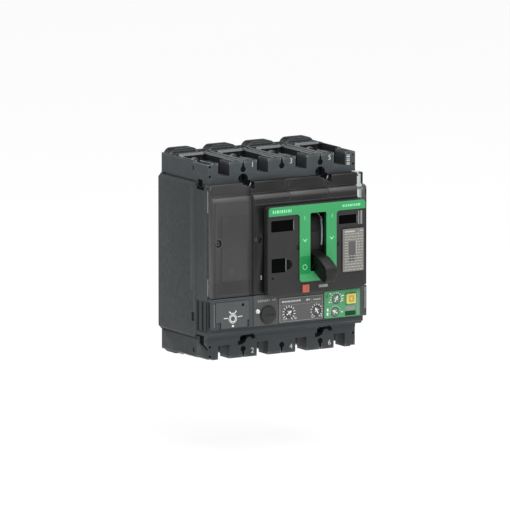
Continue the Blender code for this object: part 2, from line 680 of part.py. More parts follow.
def build_contact_shaft():
    profile = [(0, SHAFT_INSET), (SHAFT_R, SHAFT_INSET)]
    for pole in POLES:
        left, right = centred(pole, DRUM_HALF_W)
        profile += [(SHAFT_R, left), (DRUM_R, left), (DRUM_R, right), (SHAFT_R, right)]
    profile += [(SHAFT_R, WIDTH - SHAFT_INSET), (0, WIDTH - SHAFT_INSET)]
    shaft = turned("contact_shaft", profile, (0, SHAFT_F, 0), "X", ROTOR, steps=14)
    half = ARM_HALF_T + GAP
    slot = arm_points([(-24, -half), (24, -half), (24, half), (-24, half)])
    for i, pole in enumerate(POLES):
        cut(shaft, side_outline(f"c_arm_{i}", slot, centred(pole, ARM_HALF_W + GAP)))


def build_moving_contact(n, pole):
    side_outline(f"moving_contact_{n}", arm_points(ARM_OUTLINE), centred(pole, ARM_HALF_W),
                 COPPER)


# ---- fixed terminals, arc chutes and current sensors ----
STRAP_HALF_W = 8
# (f, z): contact pad, straight run and raised terminal pad
LINE_STRAP = [(17.7, 12.0), (20.4, 12.0), (20.4, 15.6), (21.7, 16.2), (21.7, 22.0),
              (20.4, 22.6), (20.4, 59.4), (20.7, 59.6), (20.7, 76.6), (17.7, 76.6)]
# (f, z): terminal pad, leg forward and a run whose contact pad faces back
LOAD_STRAP = [(17.7, -76.6), (20.7, -76.6), (20.7, -59.6), (20.4, -59.4), (20.4, -53.0),
              (38.3, -53.0), (38.3, -12.0), (35.3, -12.0), (35.3, -15.6), (34.3, -16.2),
              (34.3, -22.0), (35.3, -22.6), (35.3, -50.0), (17.7, -50.0)]
# (radius, height)
TERMINAL_SCREW = [(0, 0), (3.0, 0), (3.0, 11.0), (4.7, 11.0), (4.7, 15.2), (4.2, 15.8),
                  (0, 15.8)]
CHUTE_HALF_W = 12.5
CHUTE_PLATES_F = (45.0, 40.0, 35.0, 30.0, 25.0)
PLATE_HALF_T = 0.6
SPINE_Z = (48.0, 51.0)
PLATE_TIP_Z = 18.4


def build_terminal(side, n, pole, strap, sign, hole, spot_face):
    """A strap with its screw hole and spot face, and the socket-head screw."""
    z = sign * TERMINAL_Z
    terminal = side_outline(f"{side}_terminal_{n}", strap, centred(pole, STRAP_HALF_W), COPPER)
    cut(terminal, rod(f"{hole}_{n}", (pole, 10, z), 3.3, 20, segments=12),
        rod(f"{spot_face}_{n}", (pole, 20.4, z), 5.1, 5, segments=16))
    screw = turned(f"{side}_screw_{n}", TERMINAL_SCREW, (pole, 10.0, z), "F", STEEL, steps=10)
    cut(screw, rod(f"c_hex_{side}_{n}", (pole, 22.6, z), 2.5, 6, segments=6))


def chute_comb():
    """(f, z) outline of the line chute: plates hanging from a spine."""
    teeth = []
    for f in CHUTE_PLATES_F:
        back, front = centred(f, PLATE_HALF_T)
        teeth += [(front, SPINE_Z[0]), (front, PLATE_TIP_Z),
                  (back, PLATE_TIP_Z), (back, SPINE_Z[0])]
    # the outer faces of the end plates run straight into the spine
    spine = [(teeth[-1][0], SPINE_Z[1]), (teeth[0][0], SPINE_Z[1])]
    return spine + teeth[1:-1]


def build_arc_chutes(n, pole):
    """Steel plates on a spine, notched round the contact path."""
    comb = chute_comb()
    x_span = centred(pole, CHUTE_HALF_W)
    line = side_outline(f"line_arc_chute_{n}", comb, x_span, CHUTE)
    cut(line, box(f"c_nl_{n}", centred(pole, 6.1), (21.3, 52.4), (15.1, 28.7)))
    # the load chute is turned about the shaft and slightly shorter
    load_comb = [(2 * SHAFT_F - f, -z * 0.94 - 0.3) for f, z in comb]
    load = side_outline(f"load_arc_chute_{n}", load_comb, x_span, CHUTE)
    cut(load, box(f"c_nd_{n}", centred(pole, 6), (5, 34), (-29, -15)))


def build_current_sensor(n, pole):
    """Ring round the load strap."""
    sensor = box(f"current_sensor_{n}", centred(pole, 14), (32.4, 46.0), (-48.0, -38.0), COIL)
    cut(sensor, box(f"c_sens_{n}", centred(pole, 8.4), (34.9, 38.7), (-60, -30)))


# ---- assembly ----
build_rear_base()
build_front_housing()
build_covers()
build_fascia()
build_escutcheon()
build_nameplate()
build_trip_housing()
build_trip_plates()
build_dials()
build_test_button()
build_cap_and_led()
build_neutral_lower_cover()
build_toggle()
build_mechanism_frame()
build_main_spring()
build_trip_button()
build_trip_bar()
build_trip_actuator()
build_contact_shaft()
for n, pole in enumerate(POLES, start=1):
    build_moving_contact(n, pole)
    build_terminal("line", n, pole, LINE_STRAP, 1, "c_lh", "c_ls")
    build_terminal("load", n, pole, LOAD_STRAP, -1, "c_loh", "c_los")
    build_arc_chutes(n, pole)
    build_current_sensor(n, pole)

for obj in parts.objects:
    obj.data.set_sharp_from_angle(angle=radians(35))
bpy.context.view_layer.update()
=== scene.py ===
"""Looks of a four-pole moulded-case breaker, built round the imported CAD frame.

Case coordinates, in millimetres: x from the left side of the case, f forward from
the rear mounting plane, z up from mid-height. point() turns them into the row frame,
where forward is -Y. Limits are written x0, x1, f0, f1, z0, z1.
"""
import json
import random
from functools import cached_property
from math import cos, pi, radians, sin, sqrt

import bmesh
import bpy
from mathutils import Matrix, Vector


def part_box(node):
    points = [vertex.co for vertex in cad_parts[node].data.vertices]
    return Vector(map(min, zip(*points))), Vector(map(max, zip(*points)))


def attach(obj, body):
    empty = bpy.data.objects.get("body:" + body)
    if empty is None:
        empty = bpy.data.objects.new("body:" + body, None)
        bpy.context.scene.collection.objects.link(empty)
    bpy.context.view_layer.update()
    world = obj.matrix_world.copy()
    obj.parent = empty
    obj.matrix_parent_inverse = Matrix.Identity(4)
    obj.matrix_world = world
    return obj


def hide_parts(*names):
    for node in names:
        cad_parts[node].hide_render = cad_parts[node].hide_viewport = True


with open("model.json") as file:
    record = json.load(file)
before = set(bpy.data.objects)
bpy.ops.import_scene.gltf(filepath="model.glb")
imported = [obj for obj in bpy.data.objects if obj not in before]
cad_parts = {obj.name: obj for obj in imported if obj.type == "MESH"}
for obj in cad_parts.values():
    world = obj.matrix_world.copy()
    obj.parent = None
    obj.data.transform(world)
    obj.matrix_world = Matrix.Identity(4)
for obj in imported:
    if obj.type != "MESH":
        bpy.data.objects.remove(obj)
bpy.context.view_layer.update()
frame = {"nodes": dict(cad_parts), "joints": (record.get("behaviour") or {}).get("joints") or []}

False                      # nothing is simulated
MM = 0.001
base_low, base_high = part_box("rear_base")
LEFT_X, BACK_Y = base_low[0], base_high[1]
MID_Z = (base_low[2] + base_high[2]) / 2

WIDTH = 140
ACROSS = (-1, WIDTH + 1)        # cuts through the full width
FAR = 90                        # well outside the case, forward, up or down
HALF_BODY, HALF_CASE = 58.5, 77.0    # half heights of the wide body and of the whole case
SEAM, LOW_SEAM, SEAM_Z = 48.0, 52.5, -24.0   # joint's depth above and below SEAM_Z
ENDS = (1, -1)                  # upper end, lower end
WALLS = (35.0, 70.0, 105.0)     # middles of the walls between poles
FIXING_X, FIXING_Z = (35.0, 105.0), 62.5
SCREW_Z = 70.5                  # terminal screws
NEUTRAL_X, MAIN_X = (0.4, 36.2), (36.6, 139.6)   # widths of the two covers
LOWER_Z = (-51.4, -27.3)        # height of the parts below the covers
COVER_FRONT, COVER_WALL = 81.7, 1.8
COVER_SCREWS = {"neutral_cover_screw": 5.4, "main_cover_screw": 41.2}
COVER_SCREW_Z = 16.0
FASCIA_X, FASCIA_Z, FASCIA_FRONT = (45.7, 134.0), (-27.5, 41.8), 88.5
TRIP_FRONT = 82.0

joints = {joint["name"]: joint for joint in frame["joints"]}
pivot = joints["toggle_swing"]["pos_m"]
PIVOT_F, PIVOT_Z = (BACK_Y - pivot[1]) / MM, (pivot[2] - MID_Z) / MM


def point(x, f, z):
    return Vector((LEFT_X + x * MM, BACK_Y - f * MM, MID_Z + z * MM))


def pole_middle(number):
    low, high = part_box(f"line_terminal_{number}")
    return ((low[0] - LEFT_X) / MM + (high[0] - LEFT_X) / MM) / 2


POLES = [pole_middle(i) for i in range(1, 5)]

# ======================================================================
# shader graphs
# ======================================================================


class Value:
    """A node's output; arithmetic and comparison on it add Math nodes."""

    def __init__(self, graph, socket):
        self.graph = graph
        self.socket = socket

    def __add__(self, other):
        return self.graph.math("ADD", self, other)

    def __radd__(self, other):
        return self.graph.math("ADD", other, self)

    def __sub__(self, other):
        return self.graph.math("SUBTRACT", self, other)

    def __rsub__(self, other):
        return self.graph.math("SUBTRACT", other, self)

    def __mul__(self, other):
        return self.graph.math("MULTIPLY", self, other)

    def __rmul__(self, other):
        return self.graph.math("MULTIPLY", other, self)

    def __gt__(self, other):
        return self.graph.math("GREATER_THAN", self, other)

    def __lt__(self, other):
        return self.graph.math("LESS_THAN", self, other)

    def __abs__(self):
        return self.graph.math("ABSOLUTE", self)

    def ramp(self, low, high, to=(0.0, 1.0)):
        """Maps low..high onto the range `to`, held at both ends."""
        return self.graph.add("MapRange", out="Result", Value=self, From_Min=low,
                              From_Max=high, To_Min=to[0], To_Max=to[1])


class Graph:
    """The node tree of a material or a world."""

    def __init__(self, owner, output="OutputMaterial"):
        owner.use_nodes = True
        self.owner = owner
        self.tree = owner.node_tree
        self.tree.nodes.clear()
        self.output = self.tree.nodes.new("ShaderNode" + output)

    def put(self, socket, value):
        if isinstance(value, Value):
            self.tree.links.new(value.socket, socket)
        else:
            socket.default_value = (*value, 1.0) if socket.type == "RGBA" else value

    def add(self, kind, *values, out=0, **named):
        """Adds a node. Lower-case names are its properties, capitalised ones its inputs."""
        node = self.tree.nodes.new("ShaderNode" + kind)
        for name, value in named.items():
            if name[0].islower():
                setattr(node, name, value)
            else:
                self.put(node.inputs[name.replace("_", " ")], value)
        for i, value in enumerate(values):
            self.put(node.inputs[i], value)
        return Value(self, node.outputs[out])

    def math(self, operation, *values, clamp=False):
        return self.add("Math", *values, operation=operation, use_clamp=clamp)

    @cached_property
    def coord(self):
        return self.add("TexCoord", out="Object")

    def split(self, vector):
        node = self.add("SeparateXYZ", vector).socket.node
        return [Value(self, socket) for socket in node.outputs]

    def noise(self, scale, detail=2.0, rough=0.5, vector=None):
        return self.add("TexNoise", out="Fac", Scale=scale, Detail=detail, Roughness=rough,
                        Vector=vector or self.coord)

    def mix(self, factor, first, second):
        """Mix of two colours; the numbers are the Mix node's colour sockets."""
        result = self.add("Mix", factor, out=2, data_type="RGBA")
        inputs = result.socket.node.inputs
        self.put(inputs[6], first)
        self.put(inputs[7], second)
        return result

    def bump(self, height, strength, distance, **named):
        return self.add("Bump", Height=height, Strength=strength, Distance=distance, **named)

    def edge(self, radius, gain):
        """0 on flats, up to 1 along edges and corners."""
        soft = self.add("Bevel", samples=4, Radius=radius)
        true = self.add("NewGeometry", out="True Normal")
        dot = self.add("VectorMath", soft, true, out="Value", operation="DOT_PRODUCT")
        return self.math("MULTIPLY", 1.0 - dot, gain, clamp=True)

    def facing(self, axis):
        """1 where a face looks along the axis (0 x, 2 z) either way, 0 elsewhere."""
        normal = self.split(self.add("NewGeometry", out="True Normal"))
        return abs(normal[axis]).ramp(0.5, 0.9)

    def finish(self, shader):
        self.put(self.output.inputs["Surface"], shader)
        return self.owner


def new_material(name):
    return Graph(bpy.data.materials.new(name))


# ======================================================================
# materials
# ======================================================================
# A painted-light function returns a factor of painted light and shade and, for the case, the
# mask of its end faces that get painted shade.


def case_painted_light(graph):
    """Painted light and shade: flanks a little duller than the front, the pocket walls darkest,
    the upper end lighter than the lower.
    """
    x, _, z = graph.split(graph.coord)
    high = z - MID_Z
    across = abs((x - LEFT_X) - 0.070)
    top = high.ramp(0.058, 0.062)
    bottom = high.ramp(-0.0560, -0.0600)
    inner = across < 0.0655
    flank = (0.690 + (top * 0.345 - bottom * 0.02)) * (1.0 - inner * 0.52)
    front = 1.0 + (top * 0.07 - bottom * 0.27)
    side = graph.facing(0)
    # painted shade on the faces of the end walls that look up or down, between the painted
    # highlights on their edges
    flat = graph.facing(2) * abs(high).ramp(0.0730, 0.0738)
    front = front * (1.0 - flat * 0.78)
    return side * flank + (1.0 - side) * front, flat


def rail_painted_light(graph):
    """Painted highlight on the sides, painted shade on the flat tops."""
    return 1.0 - graph.facing(2) * 0.72, None


def handle_painted_light(graph):
    """Painted shade: dark flanks, and a dark neck where the handle leaves the slot."""
    _, y, z = graph.split(graph.coord)
    forward = (BACK_Y - y) - PIVOT_F * MM
    rise = (z - MID_Z) - PIVOT_Z * MM
    radius = graph.math("SQRT", forward * forward + rise * rise)
    neck = radius.ramp(0.0490, 0.0555, to=(0.30, 1.0))
    return neck * (1.0 - graph.facing(0) * 0.62), None


def plastic(name, colour, rough=0.5, spec=0.3, vary=0.07, grain=0.25, wear=0.35,
            wear_radius=0.0006, wear_add=0.05, coat=0.0, painted_light=None):
    """Moulded plastic: `vary` is blotchiness, `grain` surface bump, `wear` pale edges."""
    graph = new_material(name)
    value = graph.noise(38.0, detail=3.0).ramp(0.3, 0.7, to=(1.0 - vary, 1.0 + vary))
    fine = graph.noise(1500.0, rough=0.6)
    mid = graph.noise(260.0, detail=4.0, rough=0.6)
    value = value * fine.ramp(0.3, 0.7, to=(0.96, 1.04))
    flat = None
    if painted_light:
        shade, flat = painted_light(graph)
        value = value * shade
    base = graph.add("HueSaturation", Color=colour, Value=value)
    worn_and_highlight = tuple(min(1.0, c * 1.25 + wear_add) for c in colour)
    edge = graph.edge(wear_radius, gain=2.4)
    wear_and_highlight_mask = edge * mid.ramp(0.35, 0.65, to=(wear * 0.35, wear))
    if flat:
        # painted highlights along the edges at the ends of the case
        ends = abs(graph.split(graph.coord)[2] - MID_Z).ramp(0.0742, 0.0752)
        bright = graph.math("MULTIPLY", edge, 1.7, clamp=True) * ends * (1.0 - flat * 0.90)
        wear_and_highlight_mask = graph.math("MAXIMUM", wear_and_highlight_mask, bright)
        worn_and_highlight = graph.mix(ends, worn_and_highlight, (0.34, 0.36, 0.37))
    grainy = graph.bump(fine, strength=grain, distance=0.00006)
    wavy = graph.bump(graph.noise(55.0), strength=0.05, distance=0.0006, Normal=grainy)
    shader = graph.add(
        "BsdfPrincipled", Base_Color=graph.mix(wear_and_highlight_mask, base, worn_and_highlight),
        Roughness=mid.ramp(0.3, 0.7, to=(rough - 0.07, rough + 0.07)) - wear_and_highlight_mask * 0.1,
        Specular_IOR_Level=spec, Coat_Weight=coat, Coat_Roughness=0.15, Normal=wavy)
    if flat:
        dull = spec * (1.0 - flat * 0.93)
        graph.put(shader.socket.node.inputs["Specular IOR Level"], dull)
    return graph.finish(shader)


def metal(name, colour, rough, axis=0, tarnish=None):
    """Plated or brushed metal: fine lines along one axis, blotchy plating, brighter edges."""
    graph = new_material(name)
    stretch = [900.0, 900.0, 900.0]
    stretch[axis] = 30.0
    mapped = graph.add("Mapping", Vector=graph.coord, Scale=stretch)
    lines = graph.noise(1.0, detail=3.0, rough=0.6, vector=mapped)
    blotch = graph.noise(120.0, detail=4.0, rough=0.65)
    tarnish = tarnish or tuple(c * 0.76 for c in colour)
    base = graph.mix(blotch.ramp(0.35, 0.7), colour, tarnish)
    polished = tuple(min(1, c * 1.2 + 0.05) for c in colour)
    edge = graph.edge(0.0004, gain=2.0)
    return graph.finish(graph.add(
        "BsdfPrincipled", Metallic=1.0, Base_Color=graph.mix(edge * 0.5, base, polished),
        Roughness=blotch.ramp(0.3, 0.7, to=(rough - 0.06, rough + 0.14)),
        Normal=graph.bump(lines, strength=0.18, distance=0.00005)))


def smoked(name, left_colour, right_colour, split_x):
    """Smoked covers: a dark tinted skin, clear at the upper right-hand end. Both covers
    share it, so the tint changes at the split between them."""
    graph = new_material(name)
    x, y, z = graph.split(graph.coord)
    x = (x - LEFT_X) * 1000.0
    f = (BACK_Y - y) * 1000.0
    z = (z - MID_Z) * 1000.0
    face = z.ramp(48.4, 49.6, to=(1.0, 0.0))      # 1 on the front face, 0 on the top band
    right = x > split_x
    tint = graph.mix(right * face, left_colour, right_colour)
    tint = graph.mix(right * (1.0 - face), tint, (0.0066, 0.0059, 0.0055))
    # light caught by the sloping edge above the front face
    slope = z.ramp(47.2, 49.4) * z.ramp(50.8, 51.6, to=(1.0, 0.0)) * (f > 78.4)
    tint = graph.mix(slope * 0.75, tint, (0.075, 0.072, 0.071))
    # painted shade along the split between the covers, and the duller foot of the left cover
    strip = x.ramp(31.5, 34.6) * x.ramp(36.9, 38.2, to=(1.0, 0.0))
    strip = strip * z.ramp(50.5, 52.5, to=(0.92, 0.25))
    foot = z.ramp(-12.0, -16.5, to=(0.0, 0.28)) * (x < split_x)
    shade = 1.0 - strip - foot
    # the top band darkens at every pole wall
    wave = abs(graph.math("SINE", (x - 35.0) * (pi / 35.0)))
    band = wave.ramp(0.0, 0.5, to=(0.80, 1.0))
    shade = shade * graph.mix(face, (0.9, 0.9, 0.9), (1.0, 1.0, 1.0))
    shade = shade * (band * (1.0 - face) + face)
    uneven = graph.noise(30.0).ramp(0.3, 0.7, to=(0.94, 1.06))
    tinted = graph.add("HueSaturation", Color=tint, Value=uneven * shade)
    edge = graph.edge(0.0006, gain=2.4) * (x < 134.0)
    skin = graph.add(
        "BsdfPrincipled", Base_Color=graph.mix(edge * 0.45, tinted, (0.20, 0.205, 0.205)),
        Roughness=graph.noise(420.0, detail=3.0, rough=0.6).ramp(0.3, 0.7, to=(0.30, 0.38)),
        Specular_IOR_Level=0.30,
        Normal=graph.bump(graph.noise(48.0), strength=0.04, distance=0.0004))
    # clear plastic: see-through with a little haze, and a glossy reflection
    through = graph.add("BsdfTransparent", Color=(0.875, 0.89, 0.89))
    milky = graph.add("BsdfDiffuse", Color=(0.46, 0.475, 0.475))
    haze = graph.add("MixShader", 0.11, through, milky)
    gloss = graph.add("BsdfGlossy", Roughness=0.12)
    clear_skin = graph.add("MixShader", graph.add("Fresnel", IOR=1.35), haze, gloss)
    # clear right-hand end, with a dark rim at its outer corner
    start = 134.2 - z.ramp(51.6, 51.9, to=(1.0, 0.0)) * 2.9
    clear = (x > start) * (z > 39.0)
    rim_x = 138.4 - z.ramp(51.6, 51.9) * 1.0
    rim_f = 74.9 + z.ramp(51.6, 51.9, to=(1.0, 0.0)) * 5.0
    clear = clear * (1.0 - (x > rim_x) * (f > rim_f))
    return graph.finish(graph.add("MixShader", clear * 0.95, skin, clear_skin))


def paint(name, colour):
    """Printed marks: slightly uneven ink."""
    graph = new_material(name)
    ink = graph.noise(2600.0)
    thin = tuple(c * 0.72 for c in colour)
    return graph.finish(graph.add(
        "BsdfPrincipled",
        Base_Color=graph.mix(ink.ramp(0.35, 0.65, to=(0.0, 0.22)), colour, thin),
        Roughness=ink.ramp(0.3, 0.7, to=(0.42, 0.58)), Specular_IOR_Level=0.25,
        Normal=graph.bump(ink, strength=0.1, distance=0.00003)))


# case plastic: its strong pale edges are partly wear and partly painted highlight
CASE = plastic("case_plastic", (0.0335, 0.0405, 0.0440), rough=0.55, spec=0.26, wear=0.6,
               wear_radius=0.0005, wear_add=0.10, painted_light=case_painted_light)
FASCIA = plastic("fascia_black", (0.0200, 0.0200, 0.0200), spec=0.22, grain=0.2)
TRIP = plastic("trip_unit_dark", (0.052, 0.055, 0.055), spec=0.26)
LOWER = plastic("lower_cover_dark", (0.038, 0.044, 0.048), spec=0.26)
GREEN = plastic("escutcheon_green", (0.030, 0.255, 0.088), rough=0.42, vary=0.05, grain=0.1,
                wear=0.25, wear_add=0.06)
OFF_GREEN = plastic("off_zone_green", (0.006, 0.185, 0.048), rough=0.42, vary=0.05,
                    grain=0.1, wear=0.1)
# dark copy of the escutcheon green; on the slot lining it paints the shade inside the slot
SLOT_GREEN = plastic("slot_dark_green", (0.003, 0.040, 0.016), spec=0.15, vary=0.05,
                     wear=0.05, wear_add=0.0)
LABEL = plastic("nameplate_grey", (0.154, 0.149, 0.137), rough=0.4, vary=0.08, grain=0.08,
                wear=0.3, wear_add=0.12)
GREY = plastic("settings_grey", (0.076, 0.0755, 0.0755), rough=0.45, spec=0.28, grain=0.12)
LEAKAGE_GREEN = plastic("leakage_green", (0.062, 0.245, 0.108), rough=0.45, spec=0.28,
                        vary=0.08, grain=0.12)
NEUTRAL_GREY = plastic("neutral_plate_grey", (0.053, 0.057, 0.060), rough=0.45, spec=0.28,
                       grain=0.12)
SHUTTER = plastic("shutter_black", (0.008, 0.008, 0.008), spec=0.15, grain=0.1, wear=0.3,
                  wear_add=0.02)
SHUTTER_GREY = plastic("shutter_grey", (0.0138, 0.0134, 0.0130), spec=0.15, grain=0.1,
                       wear=0.3, wear_add=0.02)
WINDOW = plastic("window_black", (0.0010, 0.0012, 0.0011), spec=0.02, grain=0.02, wear=0.1,
                 wear_add=0.0)
# dark sheets at the bottom of slots, holes, notches and pockets: painted shade
DARK = plastic("painted_recess_shade", (0.004, 0.0045, 0.0045), rough=0.8, spec=0.05, wear=0.05,
               wear_add=0.0)
RED = plastic("trip_red", (0.365, 0.092, 0.056), rough=0.4, vary=0.04, wear=0.3, wear_add=0.1)
YELLOW = plastic("test_yellow", (0.43, 0.47, 0.13), rough=0.4, vary=0.04, wear=0.2,
                 wear_add=0.1)
ORANGE = plastic("test_orange", (0.50, 0.22, 0.045), rough=0.45, vary=0.06, wear=0.1)
DIAL = plastic("dial_dark", (0.045, 0.045, 0.044), rough=0.42, wear=0.6, wear_add=0.2)
DIAL_GREEN = plastic("dial_green_grey", (0.085, 0.135, 0.100), rough=0.42, wear=0.6,
                     wear_add=0.2)
LENS = plastic("led_lens", (0.50, 0.51, 0.51), rough=0.18, spec=0.5, vary=0.02, grain=0.02,
               wear=0.1, coat=0.6)
# pale glossy grey for small light parts and for strips that paint highlights and reflections
RIM = plastic("pale_trim_and_highlight", (0.26, 0.28, 0.285), rough=0.2, spec=0.5, vary=0.06, grain=0.02,
              wear=0.2, coat=0.5)
INK = paint("ink_white", (0.46, 0.48, 0.48))
INK_BRIGHT = paint("ink_bright", (0.62, 0.64, 0.62))
INK_GREEN = paint("ink_pale_green", (0.20, 0.62, 0.32))
INK_GREY = paint("ink_grey", (0.21, 0.21, 0.20))
INK_PLATE = paint("ink_plate", (0.36, 0.36, 0.335))
STEEL = metal("zinc_steel", (0.56, 0.56, 0.57), rough=0.32)
# steel coloured near black; on the terminal screws this paints the shade of their pockets
BLACKED = metal("dark_steel", (0.10, 0.10, 0.105), rough=0.38)
SPRING = metal("spring_steel", (0.42, 0.42, 0.44), rough=0.3)
CHUTE = metal("arc_steel", (0.30, 0.30, 0.31), rough=0.45, axis=2)
# terminals: tinned copper coloured near black, as painted shade of their pockets
TINNED = metal("tinned_copper_painted_shade", (0.050, 0.050, 0.050), rough=0.45, axis=2,
               tarnish=(0.030, 0.030, 0.030))
COPPER = metal("contact_copper", (0.72, 0.42, 0.27), rough=0.3, axis=2,
               tarnish=(0.45, 0.22, 0.13))
ROTOR = plastic("rotor_moulding", (0.24, 0.21, 0.17), rough=0.6, spec=0.25, vary=0.12)
COIL = plastic("coil_moulding", (0.035, 0.045, 0.075))
GRILLE = plastic("grille_grey", (0.0190, 0.0235, 0.0260), rough=0.55, spec=0.26)
# darker copy of the grille grey, behind the vent slots as painted shade
GRILLE_DARK = plastic("grille_dark", (0.0105, 0.0130, 0.0145), rough=0.6, spec=0.2)
# light lips that paint the highlight along the rims of the terminal pockets
LIP = plastic("pocket_lip_highlight", (0.222, 0.237, 0.244), rough=0.45, grain=0.1)
# light rails that paint highlights on the wall tops
RAIL = plastic("painted_highlight_rail", (0.36, 0.375, 0.38), spec=0.15, grain=0.1, wear=0.0,
               painted_light=rail_painted_light)
SMOKED = smoked("smoked_cover", left_colour=(0.0275, 0.0278, 0.0278),
                right_colour=(0.0050, 0.0050, 0.0050), split_x=36.4)
PANEL = plastic("cover_panel", (0.0315, 0.0315, 0.0315), rough=0.34, spec=0.28, vary=0.03,
                grain=0.02, wear=0.12, wear_add=0.02)

# ======================================================================
# outlines
# ======================================================================


def bar(x0, x1, z0, z1):
    return [(x0, z0), (x1, z0), (x1, z1), (x0, z1)]


def circle(u, v, radius, count=32, start=0.0, end=2 * pi):
    """A full circle, or an arc with both of its ends."""
    closed = abs(end - start - 2 * pi) < 1e-6
    angles = [start + (end - start) * k / count for k in range(count if closed else count + 1)]
    return [(u + radius * cos(a), v + radius * sin(a)) for a in angles]


def arc_band(u, v, inner, outer, start, end, count):
    """Part of a ring."""
    return circle(u, v, outer, count, start, end) + circle(u, v, inner, count, end, start)


def ring(x, z, inner, outer, count=32):
    """A ring with a hairline split."""
    return arc_band(x, z, inner, outer, 0, 2 * pi - 0.002, count)


def rounded(x0, x1, z0, z1, r, n=6, corners=(1, 1, 1, 1)):
    """Rectangle with rounded corners: lower left, lower right, upper right, upper left."""
    outline = []
    centres = ((x0 + r, z0 + r, pi), (x1 - r, z0 + r, 1.5 * pi),
               (x1 - r, z1 - r, 0.0), (x0 + r, z1 - r, 0.5 * pi))
    for (x, z, start), on in zip(centres, corners):
        if on:
            turn = [start + k * pi / 2 / n for k in range(n + 1)]
            outline += [(x + r * cos(t), z + r * sin(t)) for t in turn]
        else:
            outline.append((x + (r if cos(start + pi / 4) > 0 else -r),
                            z + (r if sin(start + pi / 4) > 0 else -r)))
    return outline


def ribbon(path, width):
    """A band along a path of points; a negative width starts it on the other side."""
    left, right = [], []
    for i, (u, v) in enumerate(path):
        u0, v0 = path[max(i - 1, 0)]
        u1, v1 = path[min(i + 1, len(path) - 1)]
        run = sqrt((u1 - u0) ** 2 + (v1 - v0) ** 2)
        du, dv = -(v1 - v0) / run * width / 2, (u1 - u0) / run * width / 2
        left.append((u + du, v + dv))
        right.append((u - du, v - dv))
    return left + right[::-1]


def stroke(x0, z0, x1, z1, width):
    """A thin bar between two points."""
    return ribbon([(x0, z0), (x1, z1)], -width)


def smooth_loop(outline):
    """Rounds a closed outline by cutting its corners twice (Chaikin)."""
    for _ in range(2):
        cut_corners = []
        for (u0, v0), (u1, v1) in zip(outline, outline[1:] + outline[:1]):
            cut_corners += [(0.75 * u0 + 0.25 * u1, 0.75 * v0 + 0.25 * v1),
                            (0.25 * u0 + 0.75 * u1, 0.25 * v0 + 0.75 * v1)]
        outline = cut_corners
    return outline


def at_end(s, outline):
    """An outline drawn for the upper end (s = 1), mirrored for the lower (s = -1)."""
    return outline if s > 0 else [(u, -v) for u, v in reversed(outline)]


def span(s, z0, z1):
    """Limits drawn for the upper end, mirrored for the lower."""
    return sorted((s * z0, s * z1))


def side(right, x0, x1):
    """Limits drawn for the left side, mirrored if `right`."""
    return (WIDTH - x1, WIDTH - x0) if right else (x0, x1)


# ======================================================================
# solids
# ======================================================================
# outline (u, v) and depth t to a point
PLANES = {"XZ": lambda u, v, t: point(u, t, v),
          "FZ": lambda u, v, t: point(t, u, v),
          "XF": lambda u, v, t: point(u, v, t)}


def prism(plane, outline, low, high):
    bm = bmesh.new()
    place = PLANES[plane]
    first = [bm.verts.new(place(u, v, low)) for u, v in outline]
    last = [bm.verts.new(place(u, v, high)) for u, v in outline]
    bm.faces.new(first)
    bm.faces.new(list(reversed(last)))
    n = len(outline)
    for i in range(n):
        bm.faces.new((first[i], last[i], last[(i + 1) % n], first[(i + 1) % n]))
    bmesh.ops.recalc_face_normals(bm, faces=bm.faces)
    return bm


def block(x0, x1, f0, f1, z0, z1):
    return prism("XZ", bar(x0, x1, z0, z1), f0, f1)


def rod(x, f, z, radius, length, count=32):
    """Cylinder running forward from (x, f, z)."""
    return prism("XZ", circle(x, z, radius, count), f, f + length)


def cross_rod(x, f, z, radius, length, count):
    """Cylinder running to the right from (x, f, z)."""
    return prism("FZ", circle(f, z, radius, count), x, x + length)


def turned(x, f, z, profile, count=40):
    """Turned body on a forward axis, from (radius, height) points; both ends on the axis."""
    bm = bmesh.new()
    rings = []
    for radius, height in profile:
        if radius == 0:
            rings.append([bm.verts.new(point(x, f + height, z))])
        else:
            rings.append([bm.verts.new(point(u, f + height, v))
                          for u, v in circle(x, z, radius, count)])
    for low, high in zip(rings, rings[1:]):
        for k in range(count):
            following = (k + 1) % count
            if len(low) == 1:
                bm.faces.new((low[0], high[following], high[k]))
            elif len(high) == 1:
                bm.faces.new((low[k], low[following], high[0]))
            else:
                bm.faces.new((low[k], low[following], high[following], high[k]))
    bmesh.ops.recalc_face_normals(bm, faces=bm.faces)
    return bm


def merge(parts):
    """Several separate shapes in one bmesh."""
    whole = bmesh.new()
    for part in parts:
        mesh = bpy.data.meshes.new("part")
        part.to_mesh(mesh)
        part.free()
        whole.from_mesh(mesh)
        bpy.data.meshes.remove(mesh)
    return whole


# steps for make()
def cut(bm):
    return ("DIFFERENCE", bm)


def add(bm):
    return ("UNION", bm)


def bevel(width, segments=2, angle=32):
    return ("BEVEL", width, segments, angle)


def to_object(name, bm):
    mesh = bpy.data.meshes.new(name)
    bm.to_mesh(mesh)
    bm.free()
    obj = bpy.data.objects.new(name, mesh)
    bpy.context.scene.collection.objects.link(obj)
    return obj


